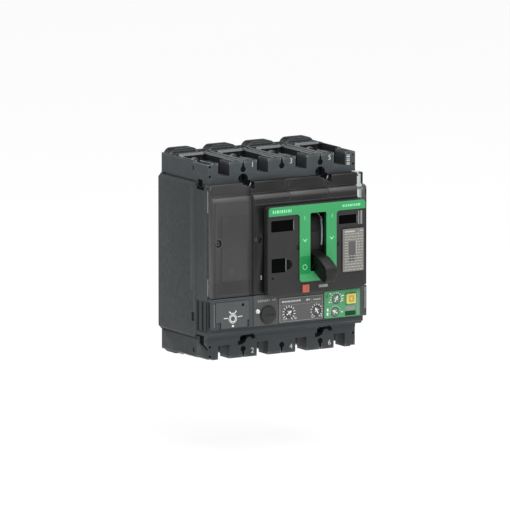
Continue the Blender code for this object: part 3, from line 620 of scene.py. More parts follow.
def make(name, base, material, steps=(), body="case", stands_for=None):
    """Builds one piece: a base shape, then its steps in order, all applied."""
    obj = to_object(name, base)
    tools = []
    for kind, *values in steps:
        if kind == "BEVEL":
            modifier = obj.modifiers.new("bevel", "BEVEL")
            modifier.width = values[0] * MM
            modifier.segments = values[1]
            modifier.limit_method = "ANGLE"
            modifier.angle_limit = radians(values[2])
            modifier.use_clamp_overlap = True
            continue
        tool = to_object("tool", values[0])
        tools.append(tool)
        modifier = obj.modifiers.new("boolean", "BOOLEAN")
        modifier.operation = kind
        modifier.solver = "EXACT"
        modifier.object = tool
    bpy.context.view_layer.update()
    depsgraph = bpy.context.evaluated_depsgraph_get()
    mesh = bpy.data.meshes.new_from_object(obj.evaluated_get(depsgraph))
    obj.modifiers.clear()
    raw = obj.data
    obj.data = mesh
    bpy.data.meshes.remove(raw)
    for tool in tools:
        bpy.data.objects.remove(tool, do_unlink=True)
    bm = bmesh.new()
    bm.from_mesh(mesh)
    bmesh.ops.remove_doubles(bm, verts=bm.verts, dist=2e-7)
    bmesh.ops.dissolve_degenerate(bm, edges=bm.edges, dist=2e-7)
    for face in bm.faces:
        face.smooth = True
    bm.to_mesh(mesh)
    bm.free()
    mesh.set_sharp_from_angle(angle=radians(38))
    mesh.materials.clear()
    mesh.materials.append(material)
    mesh.name = name
    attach(obj, body)
    if stands_for:
        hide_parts(stands_for)


def marks(name, outlines, f0, f1, material, body="case"):
    """Printed or raised marks on a front face."""
    solid = merge([prism("XZ", outline, f0, f1) for outline in outlines])
    make(name, solid, material, body=body)


def digits(name, text, x, z, size, f, material):
    """Solid raised digits facing forward."""
    curve = bpy.data.curves.new(name, "FONT")
    curve.body = text
    curve.size = size * MM
    curve.extrude = 0.06 * MM
    curve.align_x = "CENTER"
    curve.align_y = "CENTER"
    curve.resolution_u = 4
    source = bpy.data.objects.new(name + "_font", curve)
    bpy.context.scene.collection.objects.link(source)
    upright = Matrix(((1, 0, 0), (0, 0, -1), (0, 1, 0))).to_4x4()
    source.matrix_world = Matrix.Translation(point(x, f, z)) @ upright
    bpy.context.view_layer.update()
    depsgraph = bpy.context.evaluated_depsgraph_get()
    mesh = bpy.data.meshes.new_from_object(source.evaluated_get(depsgraph))
    mesh.transform(source.matrix_world)
    bm = bmesh.new()
    bm.from_mesh(mesh)
    bmesh.ops.remove_doubles(bm, verts=bm.verts, dist=1e-7)
    bpy.data.objects.remove(source, do_unlink=True)
    bpy.data.curves.remove(curve)
    bpy.data.meshes.remove(mesh)
    make(name, bm, material)


rng = random.Random(7)


def random_spans(x, end, widths, gap):
    """(x0, x1) of a row of bars of random width."""
    spans = []
    while x < end:
        width = rng.uniform(*widths)
        spans.append((x, x + width))
        x += width + gap
    return spans


# ======================================================================
# rear base
# ======================================================================
upper_half = [(0.0, HALF_BODY), (3.0, 62.0), (3.0, HALF_CASE),
              (137.0, HALF_CASE), (137.0, 62.0), (140.0, HALF_BODY)]
CASE_OUTLINE = upper_half + at_end(-1, upper_half)


def dome(c):
    """Rounded hump on the end wall behind a terminal."""
    return ([(c - 13, 70.5)] + circle(c - 7, 74.5, 6, 8, pi, pi / 2)
            + circle(c + 7, 74.5, 6, 8, pi / 2, 0) + [(c + 13, 70.5)])


def terminal_end(c, s):
    """Cuts and ledge round one terminal."""
    pocket = ([(c - 12.5, 60), (c + 12.5, 60)] + circle(c + 8.5, 21.4, 4, 6, 0, -pi / 2)
              + circle(c - 8.5, 21.4, 4, 6, -pi / 2, -pi))
    ledge = ([(c - 12.9, 16.0), (c + 12.9, 16.0), (c + 12.9, 25.6)]
             + circle(c + 9.0, 25.4, 3.6, 5, 0, -pi / 2)
             + circle(c - 9.0, 25.4, 3.6, 5, -pi / 2, -pi) + [(c - 12.9, 25.6)])
    hollow = rounded(c - 10.6, c + 10.6, *span(s, 76.4, 78.5), 0.9, 4)
    gap = rounded(c - 11.4, c + 11.4, 9.9, 14.8, 1.6, 5)
    crown_slot = rounded(c - 8.6, c + 8.6, 2.2, 4.6, 1.1, 4)
    return [cut(prism("XF", pocket, *span(s, 58, FAR))),
            cut(block(c - 8.4, c + 8.4, 17.4, 21.0, *span(s, 53, 59))),
            cut(rod(c, 9, s * SCREW_Z, 3.4, 12, 24)),
            add(prism("XF", ledge, *span(s, 76.68, 77.0))),
            cut(prism("XZ", hollow, 9.3, 13)),
            cut(prism("XF", gap, *span(s, 74.6, FAR))),
            cut(prism("XF", crown_slot, *span(s, 78.0, FAR)))]


steps = [add(prism("XZ", at_end(s, dome(c)), 0.0, 10.0)) for c in POLES for s in ENDS]
steps += [bevel(0.7, 3),
          cut(block(*ACROSS, LOW_SEAM, FAR, -FAR, FAR)),
          cut(block(*ACROSS, SEAM, FAR, SEAM_Z, FAR))]
for c in POLES:
    for s in ENDS:
        steps += terminal_end(c, s)
    steps.append(cut(block(c - 15.5, c + 15.5, 3, 60, -54, 54)))
steps.append(cut(block(16, 124, 21.3, 60, -6.7, 6.7)))
for x in FIXING_X:
    for s in ENDS:
        steps.append(cut(rod(x, -1, s * FIXING_Z, 3.1, 60)))
# grooves along the ends of the pole walls
for x in WALLS:
    for s in ENDS:
        for dx in (-2.45, 2.45):
            steps.append(cut(block(x + dx - 1.5, x + dx + 1.5, 11.0, 60, *span(s, 74.6, FAR))))
for right in (0, 1):
    for s in ENDS:
        steps.append(cut(block(*side(right, -1, 4.34), 21.0, 60, *span(s, 76.2, FAR))))
# back: shallow recesses between ribs
for c in POLES:
    steps.append(cut(block(c - 13.5, c + 13.5, -1, 0.8, 4.0, 50.0)))
    steps.append(cut(block(c - 13.5, c + 13.5, -1, 0.8, -50.0, -4.0)))
for c in POLES:
    for z in (44.0, 10.0, -10.0, -44.0):
        for dx in (-10.2, 10.2):
            steps.append(cut(rod(c + dx, 0.6, z, 1.9, 0.35, 20)))
    for s in ENDS:
        # stepped field inside each recess, with a narrow rib across it
        field = rounded(c - 7.6, c + 7.6, *span(s, 8.0, 46.0), 1.5, 4)
        steps.append(cut(prism("XZ", field, 0.5, 1.15)))
        steps.append(add(block(c - 7.8, c + 7.8, 0.8, 1.4, *span(s, 26.2, 27.8))))
# slots between the recesses, counterbored fixing holes, and a recess at the middle
for x in FIXING_X:
    steps.append(cut(prism("XZ", rounded(x - 2.6, x + 2.6, -9.5, 9.5, 2.5, 8), -1, 1.3)))
    for s in ENDS:
        steps.append(cut(rod(x, -1, s * FIXING_Z, 5.2, 1.35, 36)))
steps.append(cut(prism("XZ", rounded(62.0, 78.0, -6.0, 6.0, 1.2, 4), -1, 0.9)))
# undercut where the narrower ends meet the body
for right in (0, 1):
    for s in ENDS:
        steps.append(cut(block(*side(right, -1, 3.7), 3.0, 60, *span(s, 60.5, 62.3))))
# small slots in both sides at the seam, and notches near the ends
for right in (0, 1):
    steps.append(cut(block(*side(right, -1, 1.2), 49.8, 54, -48.0, -41.0)))
for right in (0, 1):
    for s in ENDS:
        steps.append(cut(block(*side(right, 2, 3.8), 46.9, 50, *span(s, 69.6, 73.0))))
steps.append(bevel(0.2, 2, 50))
make("rear_base_shell", prism("XZ", CASE_OUTLINE, 0, 66), CASE, steps,
     stands_for="rear_base")

# ======================================================================
# front housing
# ======================================================================
BEARING = (58.3, -24.9)         # f, z of the cross holes in two lugs
# low rib across the front, as (f, z)
FRONT_RIB = [(65, -51.7), (76.4, -51.7), (76.4, -55.9), (75.5, -56.8), (69.0, -58.2),
             (65, -58.2)]
# middle line of the curved slot over a lower fixing hole, as (x from the hole, z)
CURVED_PATH = [(9.6, -63.0), (9.0, -61.3), (7.6, -60.2), (5.2, -59.8), (2.9, -60.4),
               (1.6, -62.4), (0.2, -64.4), (-1.6, -65.3), (-4.8, -65.4)]


def curved_slot(x, width):
    return ribbon([(x + dx, z) for dx, z in CURVED_PATH], width)


def keyhole(x, gap=0.0):
    """Keyhole in the end of a pole wall; a gap gives the inset floor."""
    top = 75.6 if gap else 78
    return ([(x - 0.6 + gap, top), (x - 0.95 + gap, 73.2)]
            + circle(x, 70.3, 2.4 - gap, 16, radians(115), radians(425))
            + [(x + 0.95 - gap, 73.2), (x + 0.6 - gap, top)])


def slot_stem(s, gap=0.0):
    """Upright part of a T-shaped side slot, as (f, z); the lower one has a tail."""
    if s > 0:
        return bar(55.0 + gap, 61.6 - gap, 58.4, 63.6 - gap)
    return [(57.2 + gap, -58.7), (57.2 + gap, -64.6), (59.6, -65.9 + gap),
            (64.2, -67.4 + gap), (67.2, -69.0 + gap), (69.0, -69.4 + gap), (69.0, -68.0),
            (66.6, -66.6), (63.5 - gap, -64.9), (63.5 - gap, -58.7)]


def slot_foot(s, gap=0.0):
    """Crossbar of a side slot on the outer face, as (f, z)."""
    if s > 0:
        return [(57.3 + gap, 56.8 + gap), (58.2, 56.2 + gap), (69.0 - gap, 56.2 + gap),
                (69.0 - gap, 59.0), (57.3 + gap, 59.0)]
    return [(57.0 + gap, -59.0), (57.0 + gap, -57.4 - gap), (69.0 - gap, -57.4 - gap),
            (69.0 - gap, -59.0)]


steps = [bevel(0.6, 3),
         cut(block(*ACROSS, 0, SEAM + 0.15, -FAR, FAR)),
         cut(block(*ACROSS, 0, LOW_SEAM + 0.15, -FAR, SEAM_Z + 0.15)),
         add(block(0, WIDTH, 60, 73.6, -HALF_BODY, HALF_BODY)),
         add(prism("FZ", FRONT_RIB, 0.4, 139.6))]
for c in POLES:
    for s in ENDS:
        steps.append(cut(block(c - 12.5, c + 12.5, 40, 55, *span(s, 58, FAR))))
        steps.append(cut(block(c - 5.15, c + 5.15, 50, 80, *span(s, 66, FAR))))
    steps.append(cut(block(c - 15.5, c + 15.5, 40, 53.5, -54, 54)))
steps += [cut(block(38.5, 136.5, 56, FAR, -51.5, 52)),
          cut(block(3.5, 34.5, 56, FAR, -51.5, 52)),
          cut(block(77, 104.5, 50, 60, -27, 42))]
for x0, x1 in ((70.3, 73.0), (112.0, 114.7)):
    steps.append(add(block(x0, x1, 55.5, 62, -27.4, -22.4)))
    steps.append(cut(cross_rod(x0 - 1, *BEARING, 1.62, x1 - x0 + 2, 32)))
for x in FIXING_X:
    steps += [cut(rod(x, 40, FIXING_Z, 3.1, 40)),
              cut(rod(x, 60, FIXING_Z, 4.5, 14)),
              cut(rod(x, 40, -FIXING_Z, 3.1, 40)),
              # notch beside the upper fixing hole
              cut(block(x + 1.0, x + 6.4, 68.0, FAR, 55.4, 61.6)),
              cut(prism("XZ", curved_slot(x, 3.35), 62.5, 80))]
# right-hand end of the head, open behind the clear end of the cover
steps.append(cut(block(130.8, 138.4, 60.0, 80, 40.0, 61)))
steps.append(cut(block(138.0, 141, 66.6, 80, 40.0, 61)))
for x in WALLS:
    for s in ENDS:
        steps.append(cut(prism("XZ", at_end(s, keyhole(x)), 61, 80)))
        for dx in (-2.45, 2.45, -7.4, 7.4):
            steps.append(cut(block(x + dx - 1.5, x + dx + 1.5, 40, 67.4, *span(s, 74.6, FAR))))
for right, x in enumerate((4.9, 135.1)):
    for s in ENDS:
        steps += [cut(rod(x, 62, s * 74.3, 1.15, 12, 20)),
                  cut(rod(x, 62, s * 66.6, 1.1, 12, 20)),
                  cut(block(*side(right, -1, 4.34), 40, 80, *span(s, 76.2, FAR))),
                  cut(block(*side(right, -1, 7.54), 50, 80, *span(s, 76.2, FAR)))]
        if right:
            for z in (74.0, 66.8):
                steps.append(cut(block(136.2, 141, 66.5, 68.2, *span(s, z - 1.2, z + 1.2))))
        # seam notch, and the T-shaped slot at the foot of the terminal wall
        steps += [cut(block(*side(right, 2, 3.8), 46, 49.3, *span(s, 69.6, 73.0))),
                  cut(block(*side(right, -1, 3.0), 53.5, 80, *span(s, 58.7, 62.3))),
                  cut(prism("FZ", slot_stem(s), *side(right, -1, 3.6))),
                  cut(prism("FZ", slot_foot(s), *side(right, -1, 0.6)))]
for right in (0, 1):
    for s in ENDS:
        steps.append(cut(block(*side(right, -1, 3.7), 40, 56.6, *span(s, 60.5, 62.3))))
# sunk grille in each side by the trip unit
for right in (0, 1):
    limits = side(right, -1, 1.3)
    steps.append(cut(prism("FZ", rounded(57.2, 73.3, -54.7, -29.9, 1.2, 4), *limits)))
    steps.append(cut(block(*limits, 52, 54.6, -48.0, -41.0)))
steps.append(bevel(0.2, 2, 50))
make("front_housing_shell", prism("XZ", CASE_OUTLINE, SEAM - 20, 69.3), CASE, steps,
     stands_for="front_housing")

# grille slots: f0, f1, corner radius
GRILLE_SLOTS = ((58.2, 60.6, 0.9), (64.6, 68.0, 0.9), (70.9, 72.5, 0.7))
for right, tag in enumerate(("left", "right")):
    steps = [cut(prism("FZ", rounded(f0, f1, -53.6, -31.2, radius, 4), -2, 142))
             for f0, f1, radius in GRILLE_SLOTS] + [bevel(0.15, 2, 60)]
    plate = prism("FZ", rounded(57.3, 73.2, -54.6, -30.0, 1.1, 4), *side(right, 0.5, 0.95))
    make(f"side_grille_{tag}", plate, GRILLE, steps)
    # painted shade: a darker plate seen through the grille slots
    backing = prism("FZ", rounded(57.6, 72.9, -54.3, -30.3, 1.0, 4), *side(right, 0.95, 1.25))
    make(f"side_grille_back_{tag}", backing, GRILLE_DARK)
# painted shade: dark sheets on the inner faces of the side slots, the curved slots and the
# keyholes
for s, end in ((1, "upper"), (-1, "lower")):
    for right, tag in enumerate(("left", "right")):
        make(f"side_slot_{end}_{tag}",
             prism("FZ", slot_stem(s, 0.04), *side(right, 3.22, 3.55)), DARK)
        make(f"side_slot_bar_{end}_{tag}",
             prism("FZ", slot_foot(s, 0.04), *side(right, 0.3, 0.58)), DARK)
for k, x in enumerate(FIXING_X):
    make(f"curved_slot_floor_{k + 1}", prism("XZ", curved_slot(x, 3.25), 68.3, 68.75), DARK,
         [cut(rod(x, 60, -FIXING_Z, 3.15, 20))])
for x in WALLS:
    for s, end in ((1, "upper"), (-1, "lower")):
        make(f"keyhole_floor_{int(x)}_{end}",
             prism("XZ", at_end(s, keyhole(x, 0.05)), 61.2, 68.7), DARK)

# thin light rails that paint highlights along the wall tops: x0, x1 from the middle of a wall
# (or the case's side), f0, f1
WALL_RAILS = ((-5.06, -4.7, 14, 49.9), (-1.0, -0.62, 13, 67.3), (3.9, 4.28, 13, 67.3),
              (-5.95, -5.55, 50.1, 67.3), (8.85, 9.2, 50.1, 67.3))
SIDE_RAILS = ((4.36, 4.75, 22, 49.9), (7.56, 7.95, 50.1, 68.9))
rails, lips = [], []
for s in ENDS:
    limits = span(s, 76.3, 77.12)
    for x in WALLS:
        rails += [block(x + x0, x + x1, f0, f1, *limits) for x0, x1, f0, f1 in WALL_RAILS]
    for x0, x1, f0, f1 in SIDE_RAILS:
        rails += [block(*side(right, x0, x1), f0, f1, *limits) for right in (0, 1)]
    for c in POLES:
        lip = ([(c - 12.75, 29.5)] + circle(c - 9.0, 25.2, 3.75, 7, -pi, -pi / 2)
               + [(c - 8.0, 21.4), (c + 10.4, 21.4)])
        lips.append(prism("XF", ribbon(lip, 0.85), *span(s, 76.2, 77.95)))
# the lips and rails are light strips: painted highlights on the pocket rims and wall tops
make("pocket_lip_highlights", merge(lips), LIP)
make("painted_highlight_rails", merge(rails), RAIL)

# pole numbers beside the keyholes
for names, z in (("135", 73.0 + 0.2), ("246", -73.0 + 0.6)):
    for digit, x in zip(names, WALLS):
        digits(f"pole_number_{digit}", digit, x + 8.4, z, 5.6, 69.33, INK)
# plain raised bars up the right-hand wall
bars = [bar(128.9, 131.9, 66.3 + 1.45 * k, 66.3 + 1.45 * k + (0.5 if k % 2 else 0.85))
        for k in range(6)]
marks("wall_bars", bars, 69.25, 69.4, INK)
# painted shade: a dark floor in the notch beside each upper fixing hole
for k, x in enumerate(FIXING_X):
    make(f"notch_floor_{k + 1}", block(x + 1.1, x + 6.3, 68.0, 68.25, 55.5, 61.5), DARK)

# ======================================================================
# smoked covers
# ======================================================================
# outside and inside of both covers, as (f, z)
COVER_PROFILE = [(73.9, -26.9), (COVER_FRONT - 0.5, -26.9), (COVER_FRONT, -26.4),
                 (COVER_FRONT, 48.9), (COVER_FRONT - 0.8, 50.6), (79.0, 51.5), (76.2, 51.9),
                 (76.2, 60.3), (75.7, 60.8), (69.7, 60.8), (69.7, 58.9), (73.9, 58.9)]
COVER_HOLLOW = [(60.0, -26.9 + COVER_WALL), (COVER_FRONT - COVER_WALL, -26.9 + COVER_WALL),
                (COVER_FRONT - COVER_WALL, 48.2), (79.2 - COVER_WALL, 49.6),
                (76.2 - COVER_WALL, 49.6), (76.2 - COVER_WALL, 58.4), (60.0, 58.4)]


def hollow_cover(x0, x1):
    return cut(prism("FZ", COVER_HOLLOW, x0 + COVER_WALL, x1 - COVER_WALL))


def scallop(x):
    """Clearance in the top band round a fixing hole, with a notch to its lower right."""
    outline = ([(x - 5.0, 66)] + circle(x, FIXING_Z, 5.0, 20, radians(180), radians(290))
               + [(x + 2.2, 56.6), (x + 3.4, 55.2), (x + 6.3, 55.2), (x + 6.3, 61.4),
                  (x + 4.9, 61.9), (x + 4.9, 66)])
    return cut(prism("XZ", outline, 60, FAR))


def screw_boss(x):
    return [add(rod(x, 76.2, COVER_SCREW_Z, 3.7, 5.3, 36)),
            cut(rod(x, 79.2, COVER_SCREW_Z, 3.1, 8, 36)),
            cut(rod(x, 74.0, COVER_SCREW_Z, 1.5, 8, 20))]


steps = [bevel(0.5, 3), hollow_cover(*NEUTRAL_X), scallop(35.0),
         # sunk field of the front face
         cut(block(3.9, 34.6, 81.15, FAR, -24.6, 47.6)),
         *screw_boss(COVER_SCREWS["neutral_cover_screw"]), bevel(0.15, 2, 50)]
make("neutral_cover_shell", prism("FZ", COVER_PROFILE, *NEUTRAL_X), SMOKED, steps,
     stands_for="neutral_cover")
# lighter field on the front of the left cover, with a small tab
panel = [(8.0, -14.0), (24, -14.0), (31.4, -13.4), (31.4, 36.2), (24.0, 36.2), (24.0, 33.6),
         (20.4, 33.6), (20.4, 36.2), (8.0, 36.2)]
make("neutral_cover_panel", prism("XZ", panel, 80.9, 81.42), PANEL, [bevel(0.2)])
make("neutral_cover_tab", prism("XZ", rounded(14.8, 19.4, -9.6, -4.6, 1.2, 4), 81.3, 81.52),
     LOWER, [bevel(0.12, 1)])

steps = [bevel(0.5, 3), hollow_cover(*MAIN_X), scallop(105.0), scallop(35.0),
         cut(block(47.3, 132.4, 70, FAR, -30, 40.2)),
         cut(block(38.6, 139.0, 81.25, FAR, 43.6, 48.0)),
         *screw_boss(COVER_SCREWS["main_cover_screw"])]
# pole splits in the top band, on to the front face
SPLIT_PROFILE = [(78.4, 51.9), (78.4, 50.9), (81.0, 49.6), (81.0, 43), (83, 43), (83, 53)]
for x in WALLS[1:]:
    steps += [cut(block(x - 0.35, x + 0.35, 75.5, 80, 51.9, 62)),
              cut(block(x + 1.9, x + 2.5, 75.7, 80, 51.9, 58)),
              cut(block(x - 0.35, x + 0.35, 80.9, FAR, 43.0, 52)),
              cut(prism("FZ", SPLIT_PROFILE, x - 0.35, x + 0.35))]
steps.append(bevel(0.15, 2, 50))
make("main_cover_shell", prism("FZ", COVER_PROFILE, *MAIN_X), SMOKED, steps,
     stands_for="main_cover")
# painted highlights down the rim of the left cover, small lugs, and a light bar by the latch
make("cover_rim_highlight_upper", block(0.1, 0.42, 73.75, 74.4, 39.5, 56.5), RIM, [bevel(0.12)])
make("cover_rim_highlight_lower", block(0.1, 0.42, 73.75, 74.4, -25.5, -12.0), RIM, [bevel(0.12)])
lug = [(0.7, 57.0), (1.7, 57.0), (1.9, 59.8), (1.1, 60.4)]
make("cover_lug_upper", prism("XZ", lug, 76.1, 76.6), GREY, [bevel(0.2)])
for k, x in enumerate(FIXING_X):
    lug = stroke(x + 2.0, 57.0, x + 3.4, 60.4, 0.45)
    make(f"cover_lug_{k + 1}", prism("XZ", lug, 74.5, 75.4), RIM, [bevel(0.15, 1)])
make("cover_latch_light", prism("XZ", rounded(43.2, 44.2, -15.2, -11.6, 0.45, 4), 81.6, 82.0),
     RIM, [bevel(0.15)])

# cross-slotted cover screws
SCREW_PROFILE = [(0, 0), (1.2, 0.0), (1.2, 3.9), (2.2, 3.9), (2.2, 5.5), (1.9, 5.9), (0, 6.0)]
for node, x in COVER_SCREWS.items():
    z = COVER_SCREW_Z
    steps = [bevel(0.12, 2, 40),
             cut(block(x - 1.35, x + 1.35, 79.3, 82, z - 0.32, z + 0.32)),
             cut(block(x - 0.32, x + 0.32, 79.3, 82, z - 1.35, z + 1.35)),
             bevel(0.05, 1, 60)]
    make(node + "_head", turned(x, 74.4, z, SCREW_PROFILE), BLACKED, steps,
         stands_for=node)

# ======================================================================
# fascia and windows
# ======================================================================
# x0, x1, z0, z1
WINDOWS = ((48.6, 69.3, 22.0, 31.0), (49.0, 62.2, -9.9, 1.3), (110.0, 126.8, 23.5, 30.5))


def side_pocket(x, z0, z1, radius):
    """Half-round pocket at the right of the lower window."""
    return [(x, z0)] + circle(64.0, -4.3, radius, 12, -pi / 2, pi / 2) + [(x, z1)]


trip_opening = rounded(76.6, 83.1, -30.0, -20.8, 0.6, 3, (0, 0, 1, 1))
steps = [bevel(1.1, 4, 60),
         cut(block(48.2, 131.5, 70, 85.5, -25.0, 39.3)),
         cut(prism("XZ", rounded(83.4, 98.4, -11.3, 35.0, 1.2, 4), 70, 95)),
         cut(prism("XZ", trip_opening, 70, 95))]
steps += [cut(prism("XZ", rounded(*window, 1.0, 4), 87.0, 95)) for window in WINDOWS]
steps += [cut(prism("XZ", side_pocket(62.6, -8.6, 0.0, 4.0), 87.6, 95)),
          cut(rod(50.2, 86.6, -14.3, 0.9, 4, 24)),
          # round notches beside the green strips
          cut(prism("XZ", circle(73.4, 8.4, 2.2, 20), 87.5, 95)),
          cut(prism("XZ", circle(108.0, 8.4, 2.2, 20), 87.5, 95)),
          # shallow field behind the nameplate
          cut(prism("XZ", rounded(111.8, 133.0, -16.2, 21.4, 0.8, 4), 88.2, 95)),
          bevel(0.18, 2, 50)]
make("fascia_shell",
     prism("XZ", rounded(*FASCIA_X, *FASCIA_Z, 3.0, 8), COVER_FRONT + 0.3, FASCIA_FRONT),
     FASCIA, steps, stands_for="fascia")
for k, (x0, x1, z0, z1) in enumerate(WINDOWS):
    pane = rounded(x0 + 0.25, x1 - 0.25, z0 + 0.25, z1 - 0.25, 0.8, 4)
    make(f"window_insert_{k + 1}", prism("XZ", pane, 86.9, 87.9), WINDOW, [bevel(0.2)])
    # painted reflection: a pale strip down the window's right side, for the light on its clear
    # edge
    make(f"window_edge_reflection_{k + 1}", block(x1 - 0.15, x1 + 0.35, 87.6, 88.45, z0 + 0.6, z1 - 0.3),
         RIM, [bevel(0.1)])
# painted shade: a dark floor in the half-round pocket
make("window_side_pocket", prism("XZ", side_pocket(62.9, -8.2, -0.4, 3.6), 87.5, 87.9), DARK,
     [bevel(0.1, 1)])
# strips right of the upper right window
make("window_label_bars", merge([block(127.6, 128.5, 88.3, 88.75, 22.4, 33.0),
                                 block(129.6, 131.2, 88.3, 88.75, 22.4, 33.0)]),
     INK_GREY)

# ======================================================================
# green escutcheon
# ======================================================================
GREEN_BACK, GREEN_FRONT = FASCIA_FRONT + 0.3, FASCIA_FRONT + 1.1
band = rounded(FASCIA_X[0] + 0.3, FASCIA_X[1] - 0.3, 34.6, FASCIA_Z[1] - 0.3, 2.7, 8,
               (0, 0, 1, 1))
# radii in the inside corners between the top band and the strips
left_fillet = ([(74.2, 35.2), (71.4, 35.2), (71.4, 34.6)]
               + circle(71.4, 32.0, 2.6, 8, pi / 2, 0)[1:] + [(74.2, 31.6)])
right_fillet = ([(107.2, 35.2), (107.2, 31.6)] + circle(110.0, 32.0, 2.6, 8, pi, pi / 2)[:-1]
                + [(110.0, 34.6), (110.0, 35.2)])
strips = rounded(74.0, 107.4, -18.7, 38.0, 2.4, 6, (1, 1, 0, 0))
steps = [add(prism("XZ", outline, GREEN_BACK, GREEN_FRONT))
         for outline in (strips, left_fillet, right_fillet)]
steps += [cut(prism("XZ", rounded(83.6, 98.2, -11.1, 34.8, 1.3, 6), 80, 95)),
          bevel(0.22, 2, 50)]
make("escutcheon_frame", prism("XZ", band, GREEN_BACK, GREEN_FRONT), GREEN, steps,
     stands_for="escutcheon")
# green lining of the slot's walls, in a dark copy of the green as painted shade
make("slot_lining",
     prism("XZ", rounded(83.42, 98.38, -11.28, 34.98, 1.2, 6), 85.6, FASCIA_FRONT + 0.2),
     SLOT_GREEN, [cut(prism("XZ", rounded(83.75, 98.05, -10.9, 34.6, 1.1, 6), 80, 95))])
# darker "off" zone on the left strip
marks("off_zone", [rounded(74.15, 83.3, -12.6, 1.3, 0.25, 3)], GREEN_FRONT - 0.05,
      GREEN_FRONT + 0.06, OFF_GREEN)

MARK_BACK = GREEN_FRONT + 0.04


def green_marks(name, outlines, lift=0.0):
    marks(name, outlines, MARK_BACK + lift, MARK_BACK + lift + (0.12 if lift else 0.1),
          INK_GREEN)


green_marks("mark_O", [ring(78.5, -7.2, 1.6, 2.1)], lift=0.02)
green_marks("mark_I_left", [bar(78.2, 78.75, 29.8, 32.6)])
green_marks("mark_I_right", [bar(103.0, 103.55, 29.8, 32.6)])
# chevron, as (x from its middle, z)
CHEVRON = ((-2.1, 14.9), (-1.3, 14.9), (0, 13.7), (1.3, 14.9), (2.1, 14.9), (0.45, 12.6),
           (-0.45, 12.6))
for tag, x in (("left", 78.6), ("right", 102.9)):
    green_marks("mark_chevron_" + tag, [[(x + dx, z) for dx, z in CHEVRON]])
green_marks("plain_bars_left", [bar(x0, x1, 36.9, 39.3) for x0, x1 in
                                random_spans(49.2, 66.5, widths=(0.9, 2.2), gap=0.7)])
green_marks("plain_bars_right", [bar(x0, x1, 37.1, 39.0) for x0, x1 in
                                 random_spans(112.6, 129.0, widths=(0.8, 1.9), gap=0.6)])

# ======================================================================
# nameplate
# ======================================================================
PLATE_FRONT = FASCIA_FRONT + 0.8
make("nameplate_sheet",
     prism("XZ", rounded(113.3, 132.3, -14.2, 19.4, 0.8, 6), FASCIA_FRONT + 0.05, PLATE_FRONT),
     LABEL, [bevel(0.1)], stands_for="nameplate")
rows = []
for row in range(15):
    z = 17.4 - 2.15 * row
    if row == 0:
        rows += [bar(115.2, 124.0, z - 0.7, z + 0.5), bar(128.6, 131.4, z - 0.4, z + 0.4)]
    elif 4 <= row <= 8:
        rows += [bar(115.2, 118.0, z - 0.25, z + 0.25), bar(125.4, 126.1, z - 0.8, z + 0.8),
                 bar(127.0, 129.2, z - 0.25, z + 0.25), bar(130.0, 131.4, z - 0.25, z + 0.25)]
    else:
        rows += [bar(x0, min(x1, 131.4), z - 0.28, z + 0.28) for x0, x1 in
                 random_spans(115.2, 130.6, widths=(0.9, 2.8), gap=0.8)]
marks("nameplate_lines", rows, PLATE_FRONT - 0.02, PLATE_FRONT + 0.06, INK_PLATE)
marks("nameplate_block", [bar(118.6, 124.6, -6.6, 9.4)], PLATE_FRONT - 0.02,
      PLATE_FRONT + 0.05, GREY)

# ======================================================================
# toggle
# ======================================================================
REST = radians(-17.3)           # handle's angle above straight forward
SHUTTER_HALF = radians(47.0)
HANDLE = plastic("handle_black", (0.0112, 0.0112, 0.0103), rough=0.44, spec=0.2, grain=0.15,
                 wear=0.5, wear_add=0.03, painted_light=handle_painted_light)
# handle from the side, as (distance from the pivot, height across the handle)
PADDLE = ((37.8, -7.4), (44.0, -7.8), (48.6, -8.1), (52.6, -9.1), (58.0, -10.5),
          (63.0, -11.0), (66.6, -10.6), (68.2, -9.2), (68.5, -6.6), (68.3, -4.0),
          (67.9, -1.2), (67.0, 0.9), (65.0, 2.2), (61.3, 3.2), (57.5, 4.2), (53.5, 4.7),
          (49.0, 4.2), (45.0, 3.8), (41.2, 4.4), (37.8, 5.6))
# step sunk into both flanks, and the arm inside, in the same columns
KEEL = ((47.5, -20), (47.5, -4.5), (50.0, -2.3), (54.0, -1.6), (60.0, -2.2), (75, -3.4),
        (75, -20))
ARM = ((2.0, -3.6), (37.9, -6.0), (37.9, 6.0), (2.0, 3.6))


def along_handle(table):
    """(distance, height) points turned to (f, z) at the rest angle."""
    return [(PIVOT_F + r * cos(REST) - h * sin(REST), PIVOT_Z + r * sin(REST) + h * cos(REST))
            for r, h in table]


def strip_on_drum(path, width, inner, outer):
    """Closed strip on the shutter's drum, along a path of (x, angle) points."""
    bm = bmesh.new()
    rings = []
    for x, angle in path:
        corners = bar(x - width / 2, x + width / 2, inner, outer)
        rings.append([bm.verts.new(point(u, PIVOT_F + r * cos(angle), PIVOT_Z + r * sin(angle)))
                      for u, r in corners])
    for low, high in zip(rings, rings[1:]):
        for j in range(4):
            bm.faces.new((low[j], low[(j + 1) % 4], high[(j + 1) % 4], high[j]))
    bm.faces.new(rings[0][::-1])
    bm.faces.new(rings[-1])
    bmesh.ops.recalc_face_normals(bm, faces=bm.faces)
    return bm


